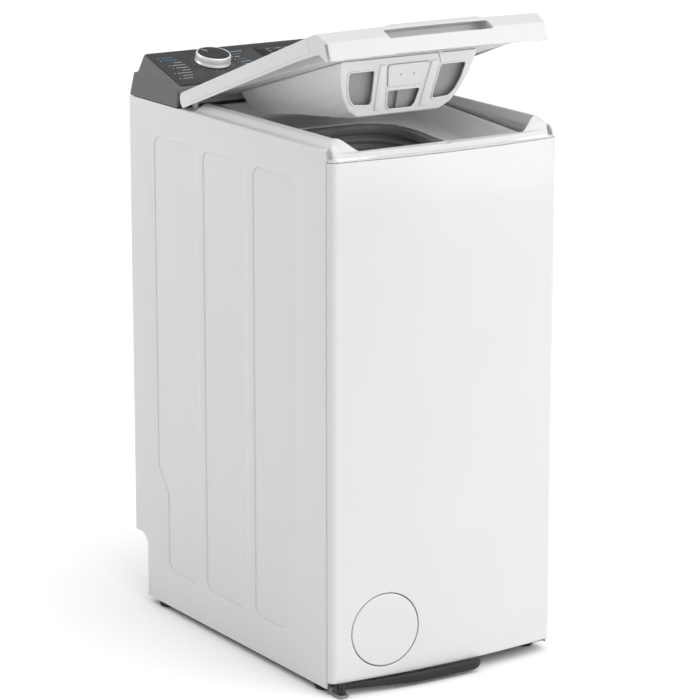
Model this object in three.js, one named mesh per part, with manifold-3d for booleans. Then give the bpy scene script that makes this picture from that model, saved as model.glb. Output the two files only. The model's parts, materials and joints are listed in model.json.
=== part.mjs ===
// Slim top-load washing machine: a sheet-steel cabinet with a lid and detergent dispenser on
// top, a horizontal drum in a tub, a belt drive, a drain pump and a front castor carriage.
// Millimetres. +X is right seen from the front, +Y is back, +Z is up. The floor is z = 0.
import * as THREE from 'three';
import { mergeVertices } from 'three/addons/utils/BufferGeometryUtils.js';
import { ConvexGeometry } from 'three/addons/geometries/ConvexGeometry.js';
import Module from 'manifold-3d';

const wasm = await Module();
wasm.setup();

// ---- Driving dimensions ----
const HALF_WIDTH = 200;
const BACK_Y = 298;
const SHEET = 1;
const GAP = 0.3;
const BOW_DEPTH = 12;
const BOW_FRONT_Y = -298;
const CORNER_RADIUS = 13;
const CORNER_X = HALF_WIDTH - CORNER_RADIUS;
const CORNER_Y = -273;
const FRONT_BOTTOM_Z = 20.3;
const FRONT_TOP_Z = 801;
const SIDE_BOTTOM_Z = 10;
const SIDE_TOP_Z = 817.5;
const NOTCH_Y = 260;
const NOTCH_Z = 112;
const NOTCH_RADIUS = 25;
const REAR_PANEL_Y = 295.7;
const INSIDE_X = 198.6;

const RIDGE_TOP_Z = 833;
const RIDGE_REAR_Y = 96;
const LEDGE_TOP_Z = 812;
const LEDGE_INNER_Y = -272;
const FLANGE_TOP_Z = 803.5;
const FRAME_BACK_Y = 147.5;
const WALL = 3;
const SHELF_HALF_X = 169.8;
const WELL_HALF_X = 160;
const SEAL_THICKNESS = 3;
const HOLE = { y: -66, halfX: 127, halfY: 126 };
const NECK = { y: -45, halfX: 100, halfY: 110, topZ: 721 };

const LID_OPEN_DEG = 19.4;
const LID_ORIGIN = new THREE.Vector3(0, 138, 832);
const HINGE_L = 6;
const LID_HALF_X = 198;
const LID_WALL = 2.5;
const LID_FRONT_L = 436;

const CONSOLE_SLOPE_DEG = 13.8;
const CONSOLE_ORIGIN = new THREE.Vector3(0, 150, 847);
const KNOB = { x: -88, s: 84, radius: 28, height: 17 };
const DISPLAY = { x0: 6, x1: 130, s0: 89, s1: 123 };

const AXIS = { y: -40, z: 480 };
const TUB = { radius: 235, wall: 4, halfX: 146, endX: 150, hubX: 162 };
const DRUM = { radius: 215, wall: 1.2, halfX: 118.3, endX: 120 };
const MOUTH = { halfX: 75, halfDeg: 24.75 };
const SHAFT_RADIUS = 12;
const BEARING_RADIUS = 25;
const PULLEY = { radius: 130, x0: 166, x1: 180 };
const BELT = { x0: 168, x1: 178, thickness: 3 };
const MOTOR = { y: 40, z: 150, radius: 62, x0: 20, x1: 150, pulleyRadius: 12 };

const FILTER = { x: -109.7, z: 92.65, coverRadius: 56, plugRadius: 30 };
const FOOT = { x: 182, frontY: -238, rearY: 225, radius: 15 };
const CASTOR = { x: 120, y: -236, z: 15, radius: 11, halfWidth: 8.5 };
const LEVER = { z0: 6, z1: 19, depth: 12, pivotX: -186, pivotY: -292, endX: 50 };
const SPRING = { x: 174, y: -40, z0: 632, z1: 760, radius: 8, wire: 1.6, turns: 6 };
const DAMPER = { x: 100, y: -105, z0: 30.4, z1: 251 };
const INLET = { x: 140, z: 762 };
const OUTLET = { x: -150, z: 660 };
const GLAND = { x: 60, z: 700 };

// ---- Materials ----
const material = (color, roughness, metalness = 0) =>
  new THREE.MeshStandardMaterial({ color, roughness, metalness });
const WHITE_PAINT = () => material(0xf2f2f2, 0.35);
const WHITE_PLASTIC = () => material(0xf6f6f6, 0.4);
const DARK_GREY = () => material(0x55585a, 0.5);
const BLACK_PLASTIC = () => material(0x202122, 0.5);
const GLOSS_BLACK = () => material(0x0c0c0d, 0.1);
const CHROME = () => material(0xc9cbcc, 0.2, 1);
const STAINLESS = () => material(0xb9bcbe, 0.3, 1);
const ZINC = () => material(0x8f9496, 0.5, 1);
const RUBBER = () => material(0x3b3d3f, 0.8);
const SEAL_GREY = () => material(0x9b9e9f, 0.7);
const CONCRETE = () => material(0x8b8982, 0.9);
const TUB_PLASTIC = () => material(0xc9ccc9, 0.6);
const BOARD_GREEN = () => material(0x27573a, 0.6);

// ---- Solids ----
function toSolid(geometry) {
  const bare = geometry.index ? geometry.toNonIndexed() : geometry.clone();
  bare.deleteAttribute('normal');
  bare.deleteAttribute('uv');
  const merged = mergeVertices(bare, 1e-3);
  return new wasm.Manifold(new wasm.Mesh({
    numProp: 3,
    vertProperties: new Float32Array(merged.attributes.position.array),
    triVerts: new Uint32Array(merged.index.array),
  }));
}

function toGeometry(solid) {
  const mesh = solid.getMesh();
  const geometry = new THREE.BufferGeometry();
  geometry.setAttribute('position', new THREE.BufferAttribute(new Float32Array(mesh.vertProperties), 3));
  geometry.setIndex(new THREE.BufferAttribute(new Uint32Array(mesh.triVerts), 1));
  return geometry;
}

const combine = (operation) => (first, ...others) =>
  toGeometry(others.reduce((solid, next) => solid[operation](toSolid(next)), toSolid(first)));
const join = combine('add');
const cut = combine('subtract');
const common = combine('intersect');

// ---- Basic shapes, each placed where it is used ----
function shapeOf(points) {
  return new THREE.Shape(points.map(([a, b]) => new THREE.Vector2(a, b)));
}

function extrude(shape, depth, steps = 1) {
  return new THREE.ExtrudeGeometry(shape, { depth, steps, bevelEnabled: false, curveSegments: 12 });
}

const Y_Z_X = new THREE.Matrix4().makeBasis(
  new THREE.Vector3(0, 1, 0), new THREE.Vector3(0, 0, 1), new THREE.Vector3(1, 0, 0));
const X_Z_NEG_Y = new THREE.Matrix4().makeBasis(
  new THREE.Vector3(1, 0, 0), new THREE.Vector3(0, 0, 1), new THREE.Vector3(0, -1, 0));

// A profile of [y, z] points, swept from x0 to x1.
function sweepX(points, x0, x1, steps = 1) {
  return extrude(shapeOf(points), x1 - x0, steps).applyMatrix4(Y_Z_X).translate(x0, 0, 0);
}

// A profile of [x, z] points, swept from y0 to y1.
function sweepY(points, y0, y1) {
  return extrude(shapeOf(points), y1 - y0).applyMatrix4(X_Z_NEG_Y).translate(0, y1, 0);
}

// A plan of [x, y] points, swept from z0 to z1.
function sweepZ(points, z0, z1) {
  return extrude(shapeOf(points), z1 - z0).translate(0, 0, z0);
}

function box(x0, x1, y0, y1, z0, z1) {
  return new THREE.BoxGeometry(x1 - x0, y1 - y0, z1 - z0)
    .translate((x0 + x1) / 2, (y0 + y1) / 2, (z0 + z1) / 2);
}

// Turned shapes: a closed profile of [radius, distance along the axis] points.
function turn(profile, segments = 20) {
  const closed = [...profile, profile[0]];
  const points = closed.map(([radius, along]) => new THREE.Vector2(radius, along));
  return new THREE.LatheGeometry(points, segments);
}

const turnY = (profile, x, z, segments) => turn(profile, segments).translate(x, 0, z);
const turnX = (profile, y, z, segments) =>
  turn(profile, segments).rotateZ(-Math.PI / 2).translate(0, y, z);
const turnZ = (profile, x, y, segments) =>
  turn(profile, segments).rotateX(Math.PI / 2).translate(x, y, 0);

const rodProfile = (radius, from, to) => [[0, from], [radius, from], [radius, to], [0, to]];
const pipeProfile = (inner, outer, from, to) =>
  [[inner, from], [outer, from], [outer, to], [inner, to]];

function tube(points, radius, sides, steps) {
  const path = new THREE.CatmullRomCurve3(points.map((p) => new THREE.Vector3(...p)));
  const ring = [];
  for (let i = 0; i < sides; i += 1) {
    const angle = (i / sides) * 2 * Math.PI;
    ring.push([radius * Math.cos(angle), radius * Math.sin(angle)]);
  }
  return new THREE.ExtrudeGeometry(shapeOf(ring), { steps, bevelEnabled: false, extrudePath: path });
}

const mirrorPoints = (points) => points.map(([x, v]) => [-x, v]).reverse();

// ---- Plan of the cabinet front: a shallow bow between two rounded corners ----
const bowAt = (x) => BOW_DEPTH * (x / CORNER_X) ** 2;
const frontY = (x) => BOW_FRONT_Y + bowAt(x);

// The front line from left to right, moved inwards by inset.
function frontLine(inset) {
  const radius = CORNER_RADIUS - inset;
  const arcSteps = 4;
  const bowSteps = 10;
  const points = [];
  for (let i = 0; i <= arcSteps; i += 1) {
    const angle = Math.PI + (i / arcSteps) * (Math.PI / 2);
    points.push([-CORNER_X + radius * Math.cos(angle), CORNER_Y + radius * Math.sin(angle)]);
  }
  for (let i = 1; i < bowSteps; i += 1) {
    const x = -CORNER_X + (2 * CORNER_X * i) / bowSteps;
    points.push([x, frontY(x) + inset]);
  }
  for (let i = 0; i <= arcSteps; i += 1) {
    const angle = 1.5 * Math.PI + (i / arcSteps) * (Math.PI / 2);
    points.push([CORNER_X + radius * Math.cos(angle), CORNER_Y + radius * Math.sin(angle)]);
  }
  return points;
}

// The whole plan: the front line closed by a straight back.
const planOutline = (inset, backY) =>
  [...frontLine(inset), [HALF_WIDTH - inset, backY], [-HALF_WIDTH + inset, backY]];

// The bow alone, without the corners, closed by a straight back.
function bowPlan(inset, halfX, backY) {
  const points = [];
  const steps = 12;
  for (let i = 0; i <= steps; i += 1) {
    const x = -halfX + (2 * halfX * i) / steps;
    points.push([x, frontY(x) + inset]);
  }
  return [...points, [halfX, backY], [-halfX, backY]];
}

// A strip along the front line, between two insets.
const frontStrip = (outer, inner) => [...frontLine(outer), ...frontLine(inner).reverse()];

// A rounded square, flatter than an ellipse.
function superellipse({ y, halfX, halfY }, segments = 36, power = 4) {
  const points = [];
  for (let i = 0; i < segments; i += 1) {
    const angle = (i / segments) * 2 * Math.PI;
    const scale = (Math.abs(Math.cos(angle)) ** power + Math.abs(Math.sin(angle)) ** power) ** (-1 / power);
    points.push([halfX * scale * Math.cos(angle), y + halfY * scale * Math.sin(angle)]);
  }
  return points;
}

// ---- The object ----
const machine = new THREE.Group();
const lid = new THREE.Group();
lid.position.copy(LID_ORIGIN);
lid.rotation.x = -THREE.MathUtils.degToRad(LID_OPEN_DEG);
const consoleTop = new THREE.Group();
consoleTop.position.copy(CONSOLE_ORIGIN);
consoleTop.rotation.x = THREE.MathUtils.degToRad(CONSOLE_SLOPE_DEG);
machine.add(lid, consoleTop);

function add(name, geometry, finish, group = machine) {
  const mesh = new THREE.Mesh(geometry, finish);
  mesh.name = name;
  group.add(mesh);
}

// ---- Cabinet ----
// The rear bottom corner is cut away to clear pipes and a skirting board.
function notchLine(offset) {
  const points = [[BACK_Y, NOTCH_Z + offset]];
  const steps = 6;
  const radius = NOTCH_RADIUS + offset;
  for (let i = 0; i <= steps; i += 1) {
    const angle = Math.PI / 2 + (i / steps) * (Math.PI / 2);
    points.push([
      NOTCH_Y + NOTCH_RADIUS + radius * Math.cos(angle),
      NOTCH_Z - NOTCH_RADIUS + radius * Math.sin(angle),
    ]);
  }
  points.push([NOTCH_Y - offset, SIDE_BOTTOM_Z]);
  return points;
}

function sidePanel() {
  const edgeY = CORNER_Y + GAP;
  const topRadius = 15;
  const outline = [[edgeY, SIDE_BOTTOM_Z]];
  for (let i = 0; i <= 5; i += 1) {
    const angle = Math.PI - (i / 5) * (Math.PI / 2);
    outline.push([
      edgeY + topRadius + topRadius * Math.cos(angle),
      SIDE_TOP_Z - topRadius + topRadius * Math.sin(angle),
    ]);
  }
  outline.push([BACK_Y, SIDE_TOP_Z], ...notchLine(0));
  const sheet = sweepX(outline.reverse(), HALF_WIDTH - SHEET, HALF_WIDTH);
  const frontFlange = box(186, HALF_WIDTH - SHEET / 2, edgeY, edgeY + SHEET, 30, 780);
  const rearFlange = box(184, HALF_WIDTH - SHEET / 2, BACK_Y - SHEET, BACK_Y, 125, 810);
  const springBracket = box(SPRING.x - 6, HALF_WIDTH - SHEET / 2, -50, -30, 764, 767);
  return join(sheet, frontFlange, rearFlange, springBracket);
}
const rightPanel = sidePanel();
const leftPanel = toGeometry(toSolid(rightPanel).mirror([1, 0, 0]));
add('side_panel_right', rightPanel, WHITE_PAINT());
add('side_panel_left', leftPanel, WHITE_PAINT());

function frontPanel() {
  const skin = sweepZ(frontStrip(0, SHEET), FRONT_BOTTOM_Z, FRONT_TOP_Z);
  const topFold = sweepZ(frontStrip(SHEET / 2, 9), FRONT_TOP_Z - SHEET, FRONT_TOP_Z);
  const bottomFold = sweepZ(frontStrip(SHEET / 2, 9), FRONT_BOTTOM_Z, FRONT_BOTTOM_Z + SHEET);
  const opening = turnY(rodProfile(FILTER.coverRadius + 1, -310, -270), FILTER.x, FILTER.z, 32);
  return cut(join(skin, topFold, bottomFold), opening);
}
add('front_panel', frontPanel(), WHITE_PAINT());

// One pressed sheet: the flat back, the shelf over the cut-away corner and the kick wall below.
function rearPanel() {
  const back = box(-INSIDE_X, INSIDE_X, REAR_PANEL_Y, REAR_PANEL_Y + SHEET, NOTCH_Z + 0.2, 816);
  const trim = box(-INSIDE_X, INSIDE_X, 200, REAR_PANEL_Y + SHEET / 2, 14, NOTCH_Z + SHEET + 0.2);
  const bend = sweepX([...notchLine(0.2), ...notchLine(SHEET + 0.2).reverse()].reverse(), -INSIDE_X, INSIDE_X);
  const holeAt = (place, radius) => turnY(rodProfile(radius, 290, 302), place.x, place.z, 24);
  const sheet = join(back, common(bend, trim));
  return cut(sheet, holeAt(INLET, 13.5), holeAt(OUTLET, 10.5), holeAt(GLAND, 9.5));
}
add('rear_panel', rearPanel(), WHITE_PAINT());

function baseFrame() {
  const backY = NOTCH_Y - 1.6;
  const tray = box(-INSIDE_X, INSIDE_X, -270, backY, 12, 52);
  const inside = box(-195.6, 195.6, -267, backY - WALL, 15, 60);
  const castorSlot = box(-158, 158, -262, -206, 5, 20);
  const floorOpening = box(-150, 150, -180, 200, 5, 20);
  const beam = (y) => box(-197, 197, y - 12, y + 12, 12, 30);
  const strapX0 = LEVER.pivotX - 8;
  const strapX1 = LEVER.pivotX + 8;
  const strap = box(strapX0, strapX1, LEVER.pivotY - 7, -268, 2.5, 5.5);
  const strapRiser = box(strapX0, strapX1, -276, -268, 2.5, 13);
  const pin = turnZ(rodProfile(3, 5, 18), LEVER.pivotX, LEVER.pivotY, 16);
  let frame = cut(tray, inside, castorSlot, floorOpening);
  frame = join(frame, beam(DAMPER.y), beam(120), strap, strapRiser, pin);
  for (const x of [-FOOT.x, FOOT.x]) {
    for (const y of [FOOT.frontY, FOOT.rearY]) {
      frame = cut(frame, turnZ(rodProfile(5.6, 0, 20), x, y, 16));
    }
  }
  return frame;
}
add('base_frame', baseFrame(), ZINC());

const FOOT_PROFILE = [
  [0, 0], [13, 0], [FOOT.radius, 2], [FOOT.radius, 6], [8, 9], [5, 9], [5, 44], [0, 44],
];
const FEET = {
  foot_front_left: [-FOOT.x, FOOT.frontY],
  foot_front_right: [FOOT.x, FOOT.frontY],
  foot_rear_left: [-FOOT.x, FOOT.rearY],
  foot_rear_right: [FOOT.x, FOOT.rearY],
};
for (const [name, [x, y]] of Object.entries(FEET)) {
  add(name, turnZ(FOOT_PROFILE, x, y, 12), BLACK_PLASTIC());
}

// ---- Top frame: rim, well, deck and the round-cornered wash opening ----
const shelfZ = (y) => 820.9 + 0.065 * y;
const deckZ = (y) => 780 + 0.07 * y;

function slopedBlock(y0, y1, surface, thickness) {
  return [[y0, surface(y0)], [y1, surface(y1)], [y1, surface(y1) + thickness], [y0, surface(y0) + thickness]];
}

function topFrame() {
  const sideRise = [
    [-201, 795], [-201, 818.6], [-192, 818.9], [-190, 821], [-184, 829], [-175, RIDGE_TOP_Z],
  ];
  const across = [...sideRise, ...mirrorPoints(sideRise)].reverse();
  const along = [
    [FRAME_BACK_Y, 795], [FRAME_BACK_Y, 818], [RIDGE_REAR_Y + 16, 818], [RIDGE_REAR_Y, RIDGE_TOP_Z],
    [-256, RIDGE_TOP_Z], [-268, 823], [LEDGE_INNER_Y - 1, LEDGE_TOP_Z], [-300, LEDGE_TOP_Z], [-300, 795],
  ];
  const plan = sweepZ(planOutline(0.1, FRAME_BACK_Y), FRONT_TOP_Z + GAP, 840);
  let frame = common(plan, sweepX(along, -201, 201), sweepY(across, -300, 148));
  const step = [...frontLine(-1), [201, -262], [189, -262], ...frontLine(11).reverse(), [-189, -262], [-201, -262]];
  const sideSlot = box(INSIDE_X - 0.2, 202, CORNER_Y - GAP, 150, 790, SIDE_TOP_Z + GAP);
  const sideSlotLeft = box(-202, -INSIDE_X + 0.2, CORNER_Y - GAP, 150, 790, SIDE_TOP_Z + GAP);
  frame = cut(frame, sweepZ(step, FLANGE_TOP_Z, 850), sideSlot, sideSlotLeft);
  const lowerPlan = [...frontLine(11), [198.4, -262], [198.4, FRAME_BACK_Y], [-198.4, FRAME_BACK_Y], [-198.4, -262]];
  frame = join(frame, sweepZ(lowerPlan, 745, FRONT_TOP_Z + 1));

  // The well: an upper step that carries the seal strips, and the deck below it.
  const upperWell = common(
    sweepX(slopedBlock(LEDGE_INNER_Y, 140, shelfZ, 60), -180, 180),
    sweepY([[-SHELF_HALF_X, 700], [SHELF_HALF_X, 700], [SHELF_HALF_X, 818], [178, 838], [-178, 838], [-SHELF_HALF_X, 818]], -280, 145),
  );
  const lowerWell = sweepX(slopedBlock(LEDGE_INNER_Y, 140, deckZ, 90), -WELL_HALF_X, WELL_HALF_X);
  frame = cut(frame, upperWell, lowerWell);

  // Hollow underside.
  const below = (surface, top) => [[-269, 700], [144.5, 700], [144.5, surface(144.5) + top], [-269, surface(-269) + top]];
  const underDeck = sweepX(below(deckZ, -WALL), -195.4, 195.4);
  const underShelf = (side) => common(
    sweepX(below(shelfZ, -WALL), side > 0 ? 163 : -195.4, side > 0 ? 195.4 : -163),
    box(-199, 199, -280, 150, 690, 815),
  );
  const underRidge = (side) => box(side > 0 ? 172.8 : -195.4, side > 0 ? 195.4 : -172.8, -258, 144.5, 700, 815);
  const ledgeHollow = sweepZ(bowPlan(14, 150, LEDGE_INNER_Y - WALL), 700, LEDGE_TOP_Z - WALL);
  frame = cut(frame, underDeck, underShelf(1), underShelf(-1), underRidge(1), underRidge(-1), ledgeHollow);
  const trims = [
    box(-210, -165, -300, 150, 700, 785), box(165, 210, -300, 150, 700, 785),
    box(-210, 210, -300, -275.2, 700, 790), box(-210, 210, 141, 150, 700, 780),
  ];
  frame = cut(frame, ...trims);

  const hole = sweepZ(superellipse(HOLE), 700, 800);
  const latchSlot = box(-9, 9, -283.4, -275, 800, 820);
  frame = cut(frame, hole, latchSlot);

  // Hinge brackets, each with a hole for its pin.
  const hinge = hingePoint();
  for (const side of [-1, 1]) {
    const x0 = side > 0 ? 174 : -180;
    const bracket = box(x0, x0 + 6, hinge.y - 6, hinge.y + 6, 813, hinge.z + 5.5);
    const pinHole = turnX(rodProfile(3.9, x0 - 1, x0 + 7), hinge.y, hinge.z, 16);
    frame = cut(join(frame, bracket), pinHole);
  }
  return frame;
}

// The lid's hinge line, in the machine's frame.
function hingePoint() {
  const tilt = THREE.MathUtils.degToRad(LID_OPEN_DEG);
  return {
    y: LID_ORIGIN.y - HINGE_L * Math.cos(tilt),
    z: LID_ORIGIN.z + HINGE_L * Math.sin(tilt),
  };
}
add('top_frame', topFrame(), WHITE_PLASTIC());

for (const [name, x0] of [['seal_strip_left', -169.4], ['seal_strip_right', 160.6]]) {
  const raised = (y) => shelfZ(y) + GAP;
  add(name, sweepX(slopedBlock(-264, 90, raised, SEAL_THICKNESS), x0, x0 + 8.8), SEAL_GREY());
}

for (const [name, x0] of [['hinge_pin_left', -193], ['hinge_pin_right', 172]]) {
  const hinge = hingePoint();
  add(name, turnX(rodProfile(3.5, x0, x0 + 21), hinge.y, hinge.z, 16), ZINC());
}

function lidLock() {
  const body = box(-22, 22, -283.2, -275.5, 772, 808.6);
  const pocket = box(-7, 7, -282.4, -276.3, 777, 820);
  return cut(body, pocket);
}
add('lid_lock', lidLock(), BLACK_PLASTIC());

// ---- Console ----
function consoleHousing() {
  const side = sweepX([[150.6, 817.8], [298, 817.8], [283, 856], [152, 848.6], [146.6, 843]], -200, 200);
  const slope = THREE.MathUtils.degToRad(CONSOLE_SLOPE_DEG);
  const onSlope = (x, s, n) => new THREE.Vector3(
    x, CONSOLE_ORIGIN.y + s * Math.cos(slope) - n * Math.sin(slope),
    CONSOLE_ORIGIN.z + s * Math.sin(slope) + n * Math.cos(slope));
  const wedge = [];
  for (const sign of [-1, 1]) {
    wedge.push(onSlope(sign * 188, 9, -0.5), onSlope(sign * 178, 142, -0.5));
    wedge.push(new THREE.Vector3(sign * 196, 152, 846), new THREE.Vector3(sign * 196, 276, 857.5));
    wedge.push(new THREE.Vector3(sign * 178, 290, 868), new THREE.Vector3(sign * 190, 290, 830));
  }
  const lowerRoom = sweepX([[154.5, 800], [293.5, 800], [280.5, 850.5], [158, 843.5], [151, 839]], -196, 196);
  const upperRoom = sweepX([[160, 838], [288, 845], [283.5, 875], [164, 844.5]], -172, 172);
  const shaftHole = turnZ(rodProfile(6.5, -20, 10), KNOB.x, KNOB.s, 20)
    .rotateX(slope).translate(CONSOLE_ORIGIN.x, CONSOLE_ORIGIN.y, CONSOLE_ORIGIN.z);
  const fasciaBed = sweepZ([[-187, 9], [187, 9], [178, 141], [-178, 141]], -0.5, 30)
    .rotateX(slope).translate(CONSOLE_ORIGIN.x, CONSOLE_ORIGIN.y, CONSOLE_ORIGIN.z);
  return cut(join(side, new ConvexGeometry(wedge)), lowerRoom, upperRoom, shaftHole, fasciaBed);
}
add('console_housing', consoleHousing(), DARK_GREY());

// The fascia and its parts lie on the sloped top: x across, y up the slope, z out of it.
function controlFascia() {
  const plate = sweepZ([[-186, 11], [186, 11], [177, 140], [-177, 140]], -0.2, 1.3);
  const window = box(DISPLAY.x0, DISPLAY.x1, DISPLAY.s0, DISPLAY.s1, -5, 5);
  const shaftHole = turnZ(rodProfile(6.5, -5, 5), KNOB.x, KNOB.s, 20);
  return cut(plate, window, shaftHole);
}
add('control_fascia', controlFascia(), DARK_GREY(), consoleTop);
add('display_window',
  box(DISPLAY.x0 + GAP, DISPLAY.x1 - GAP, DISPLAY.s0 + GAP, DISPLAY.s1 - GAP, -0.2, 1.0),
  GLOSS_BLACK(), consoleTop);
add('control_board', box(-110, 130, 40, 120, -14, -12.4), BOARD_GREEN(), consoleTop);

const knobProfile = [
  [0, -9], [5.5, -9], [5.5, 2.1], [28.4, 2.1], [28.4, 4.2], [KNOB.radius, 4.6], [27.6, 16.2],
  [26.4, KNOB.height], [25, KNOB.height], [25, 15.2], [0, 15.2],
];
add('knob_body', turnZ(knobProfile, KNOB.x, KNOB.s, 28), CHROME(), consoleTop);
add('knob_cap', turnZ(rodProfile(24.7, 15.5, 17.4), KNOB.x, KNOB.s, 28), GLOSS_BLACK(), consoleTop);

// ---- Lid, in its own frame: x across, y back from the origin, z out of the lid ----
// The front edge follows the cabinet's bow.
function bowFront(geometry) {
  const position = geometry.attributes.position;
  for (let i = 0; i < position.count; i += 1) {
    const forward = -position.getY(i);
    const share = THREE.MathUtils.smoothstep(forward, 340, LID_FRONT_L - 24);
    position.setY(i, position.getY(i) + share * bowAt(position.getX(i)));
  }
  return geometry;
}

function lidBand(points, halfX) {
  return bowFront(sweepX(points, -halfX, halfX, 10));
}

function lidShell() {
  const outerProfile = [
    [7, -2], [5, 7], [0, 11.5], [-340, 14.6], [-LID_FRONT_L + 20, 15.5], [-LID_FRONT_L, -3.6],
    [-LID_FRONT_L, -29.5], [-LID_FRONT_L + 8, -29.5], [-LID_FRONT_L + 21, -14.5], [-340, -12.2], [3, -12.2],
  ].reverse();
  const innerProfile = [
    [4.5, -40], [4.5, -1], [2.8, 6], [-1, 9], [-340, 12.1], [-LID_FRONT_L + 21, 13],
    [-LID_FRONT_L + LID_WALL, -4.5], [-LID_FRONT_L + LID_WALL, -40], [-340, -40],
  ].reverse();
  const planAt = sweepZ(planOutline(2, -200), -60, 60).translate(0, -LID_ORIGIN.y - 1, 0);
  let shell = cut(lidBand(outerProfile, LID_HALF_X), lidBand(innerProfile, LID_HALF_X - LID_WALL));
  shell = common(shell, join(planAt, box(-LID_HALF_X, LID_HALF_X, -400, 20, -60, 60)));

  // Finger recess under the front edge, closed off from the inside of the shell.
  const pocketWall = lidBand([[-396, -9], [-396, 13.5], [-416, 13.5], [-434, -4], [-434, -9]], 95);
  const recess = lidBand([[-400, -5], [-400, 9.5], [-450, 9.5], [-450, -5]], 90);
  shell = cut(join(shell, pocketWall), recess);

  // Ears for the hinge pins, and slots that let the brackets in.
  for (const side of [-1, 1]) {
    const earX = side > 0 ? 186 : -190;
    const ear = box(earX, earX + 4, -15, 4, -8, 9.6);
    const pinHole = turnX(rodProfile(4.2, earX - 1, earX + 5), -HINGE_L, 0, 16);
    const slotX = side > 0 ? 171 : -183;
    shell = cut(join(shell, ear), pinHole, box(slotX, slotX + 12, -3, 10, -20, 7));
  }
  return shell;
}
add('lid_shell', lidShell(), WHITE_PLASTIC(), lid);

const LINER = { halfX: 168, rearL: 2, frontL: 392, topOffset: 2.5 };
const linerW = (l) => -0.1 - 0.053 * l;

function lidLiner() {
  const roofW = (l) => 8.4 + 0.0088 * l;
  const { rearL, frontL, halfX } = LINER;
  const edge = [[-rearL, linerW(rearL)], [-rearL, roofW(rearL)], [-frontL, roofW(frontL)], [-frontL, linerW(frontL)]].reverse();
  const room = [
    [-rearL - 2.5, linerW(rearL) + 2.5], [-rearL - 2.5, 40], [-frontL + 2.5, 40], [-frontL + 2.5, linerW(frontL) + 2.5],
  ].reverse();
  return cut(sweepX(edge, -halfX, halfX), sweepX(room, -halfX + 2.5, halfX - 2.5));
}
add('lid_liner', lidLiner(), WHITE_PLASTIC(), lid);

// The dispenser hangs under the lid. Its front wall leans back, with mouths for three pockets.
const wallL = (w) => 336 + 0.8 * (w + 25);

function dispenserBody() {
  const topW = (l) => linerW(l) - GAP;
  const sideOutline = [
    [-46, topW(46)], [-341, topW(341)], [-wallL(-93), -93], [-268, -92], [-233, -81],
    [-170, -64], [-85, -46], [-58, -25],
  ];
  const roomOutline = [
    [-62, topW(62) - WALL], [-334, topW(334) - WALL], [-wallL(-89.5) + 3.9, -89.5], [-269, -88.5],
    [-233, -77.5], [-170, -60.5], [-88, -43.5], [-66, -25],
  ];
  const half = [[121, 0], [119, -25], [113, -50], [102, -70], [90, -84], [68, -95]];
  const halfRoom = half.map(([x, w]) => [x - WALL, w + 2]);
  const across = (points) => sweepY([...points, ...mirrorPoints(points)].reverse(), -360, -40);
  const body = common(sweepX(sideOutline, -125, 125), across(half));
  const room = common(sweepX(roomOutline, -125, 125), across(halfRoom));
  const rib = 46;
  const pockets = [
    common(room, box(-125, -rib - WALL, -400, 0, -120, 20)),
    common(room, box(-rib, rib, -400, 0, -120, 20)),
    common(room, box(rib + WALL, 125, -400, 0, -120, 20)),
  ];
  const sideMouth = [[58, -34], [104, -34], [100, -55], [93, -69], [84, -77], [53, -79]];
  const centreMouth = [[-29, -62], [-25, -82], [-20, -87], [20, -87], [25, -82], [29, -62]];
  const mouth = (points) => sweepY(points, -360, -270);
  return cut(body, ...pockets, mouth(sideMouth.slice().reverse()), mouth(mirrorPoints(sideMouth).reverse()),
    mouth(centreMouth));
}
add('dispenser_body', dispenserBody(), WHITE_PLASTIC(), lid);

function softenerCover() {
  const normal = { l: 0.781, w: -0.625 };
  const on = (w, height) => [-(wallL(w) + normal.l * height), w + normal.w * height];
  const plate = sweepX([on(-28, GAP), on(-57, GAP), on(-57, 2.2), on(-28, 2.2)].reverse(), -40, 40);
  const outline = sweepY([[-37, -26], [-29, -60], [29, -60], [37, -26]], -360, -290);
  return common(plate, outline);
}
add('softener_cover', softenerCover(), WHITE_PLASTIC(), lid);

function latchHook() {
  const plate = box(-14, 14, -424, -402, -12, -9.3);
  const prong = sweepX([[-415.4, -10], [-419.6, -10], [-419.2, -42], [-417.5, -46.5], [-415.6, -42]], -3, 3);
  return join(plate, prong);
}
add('latch_hook', latchHook(), WHITE_PLASTIC(), lid);

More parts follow.
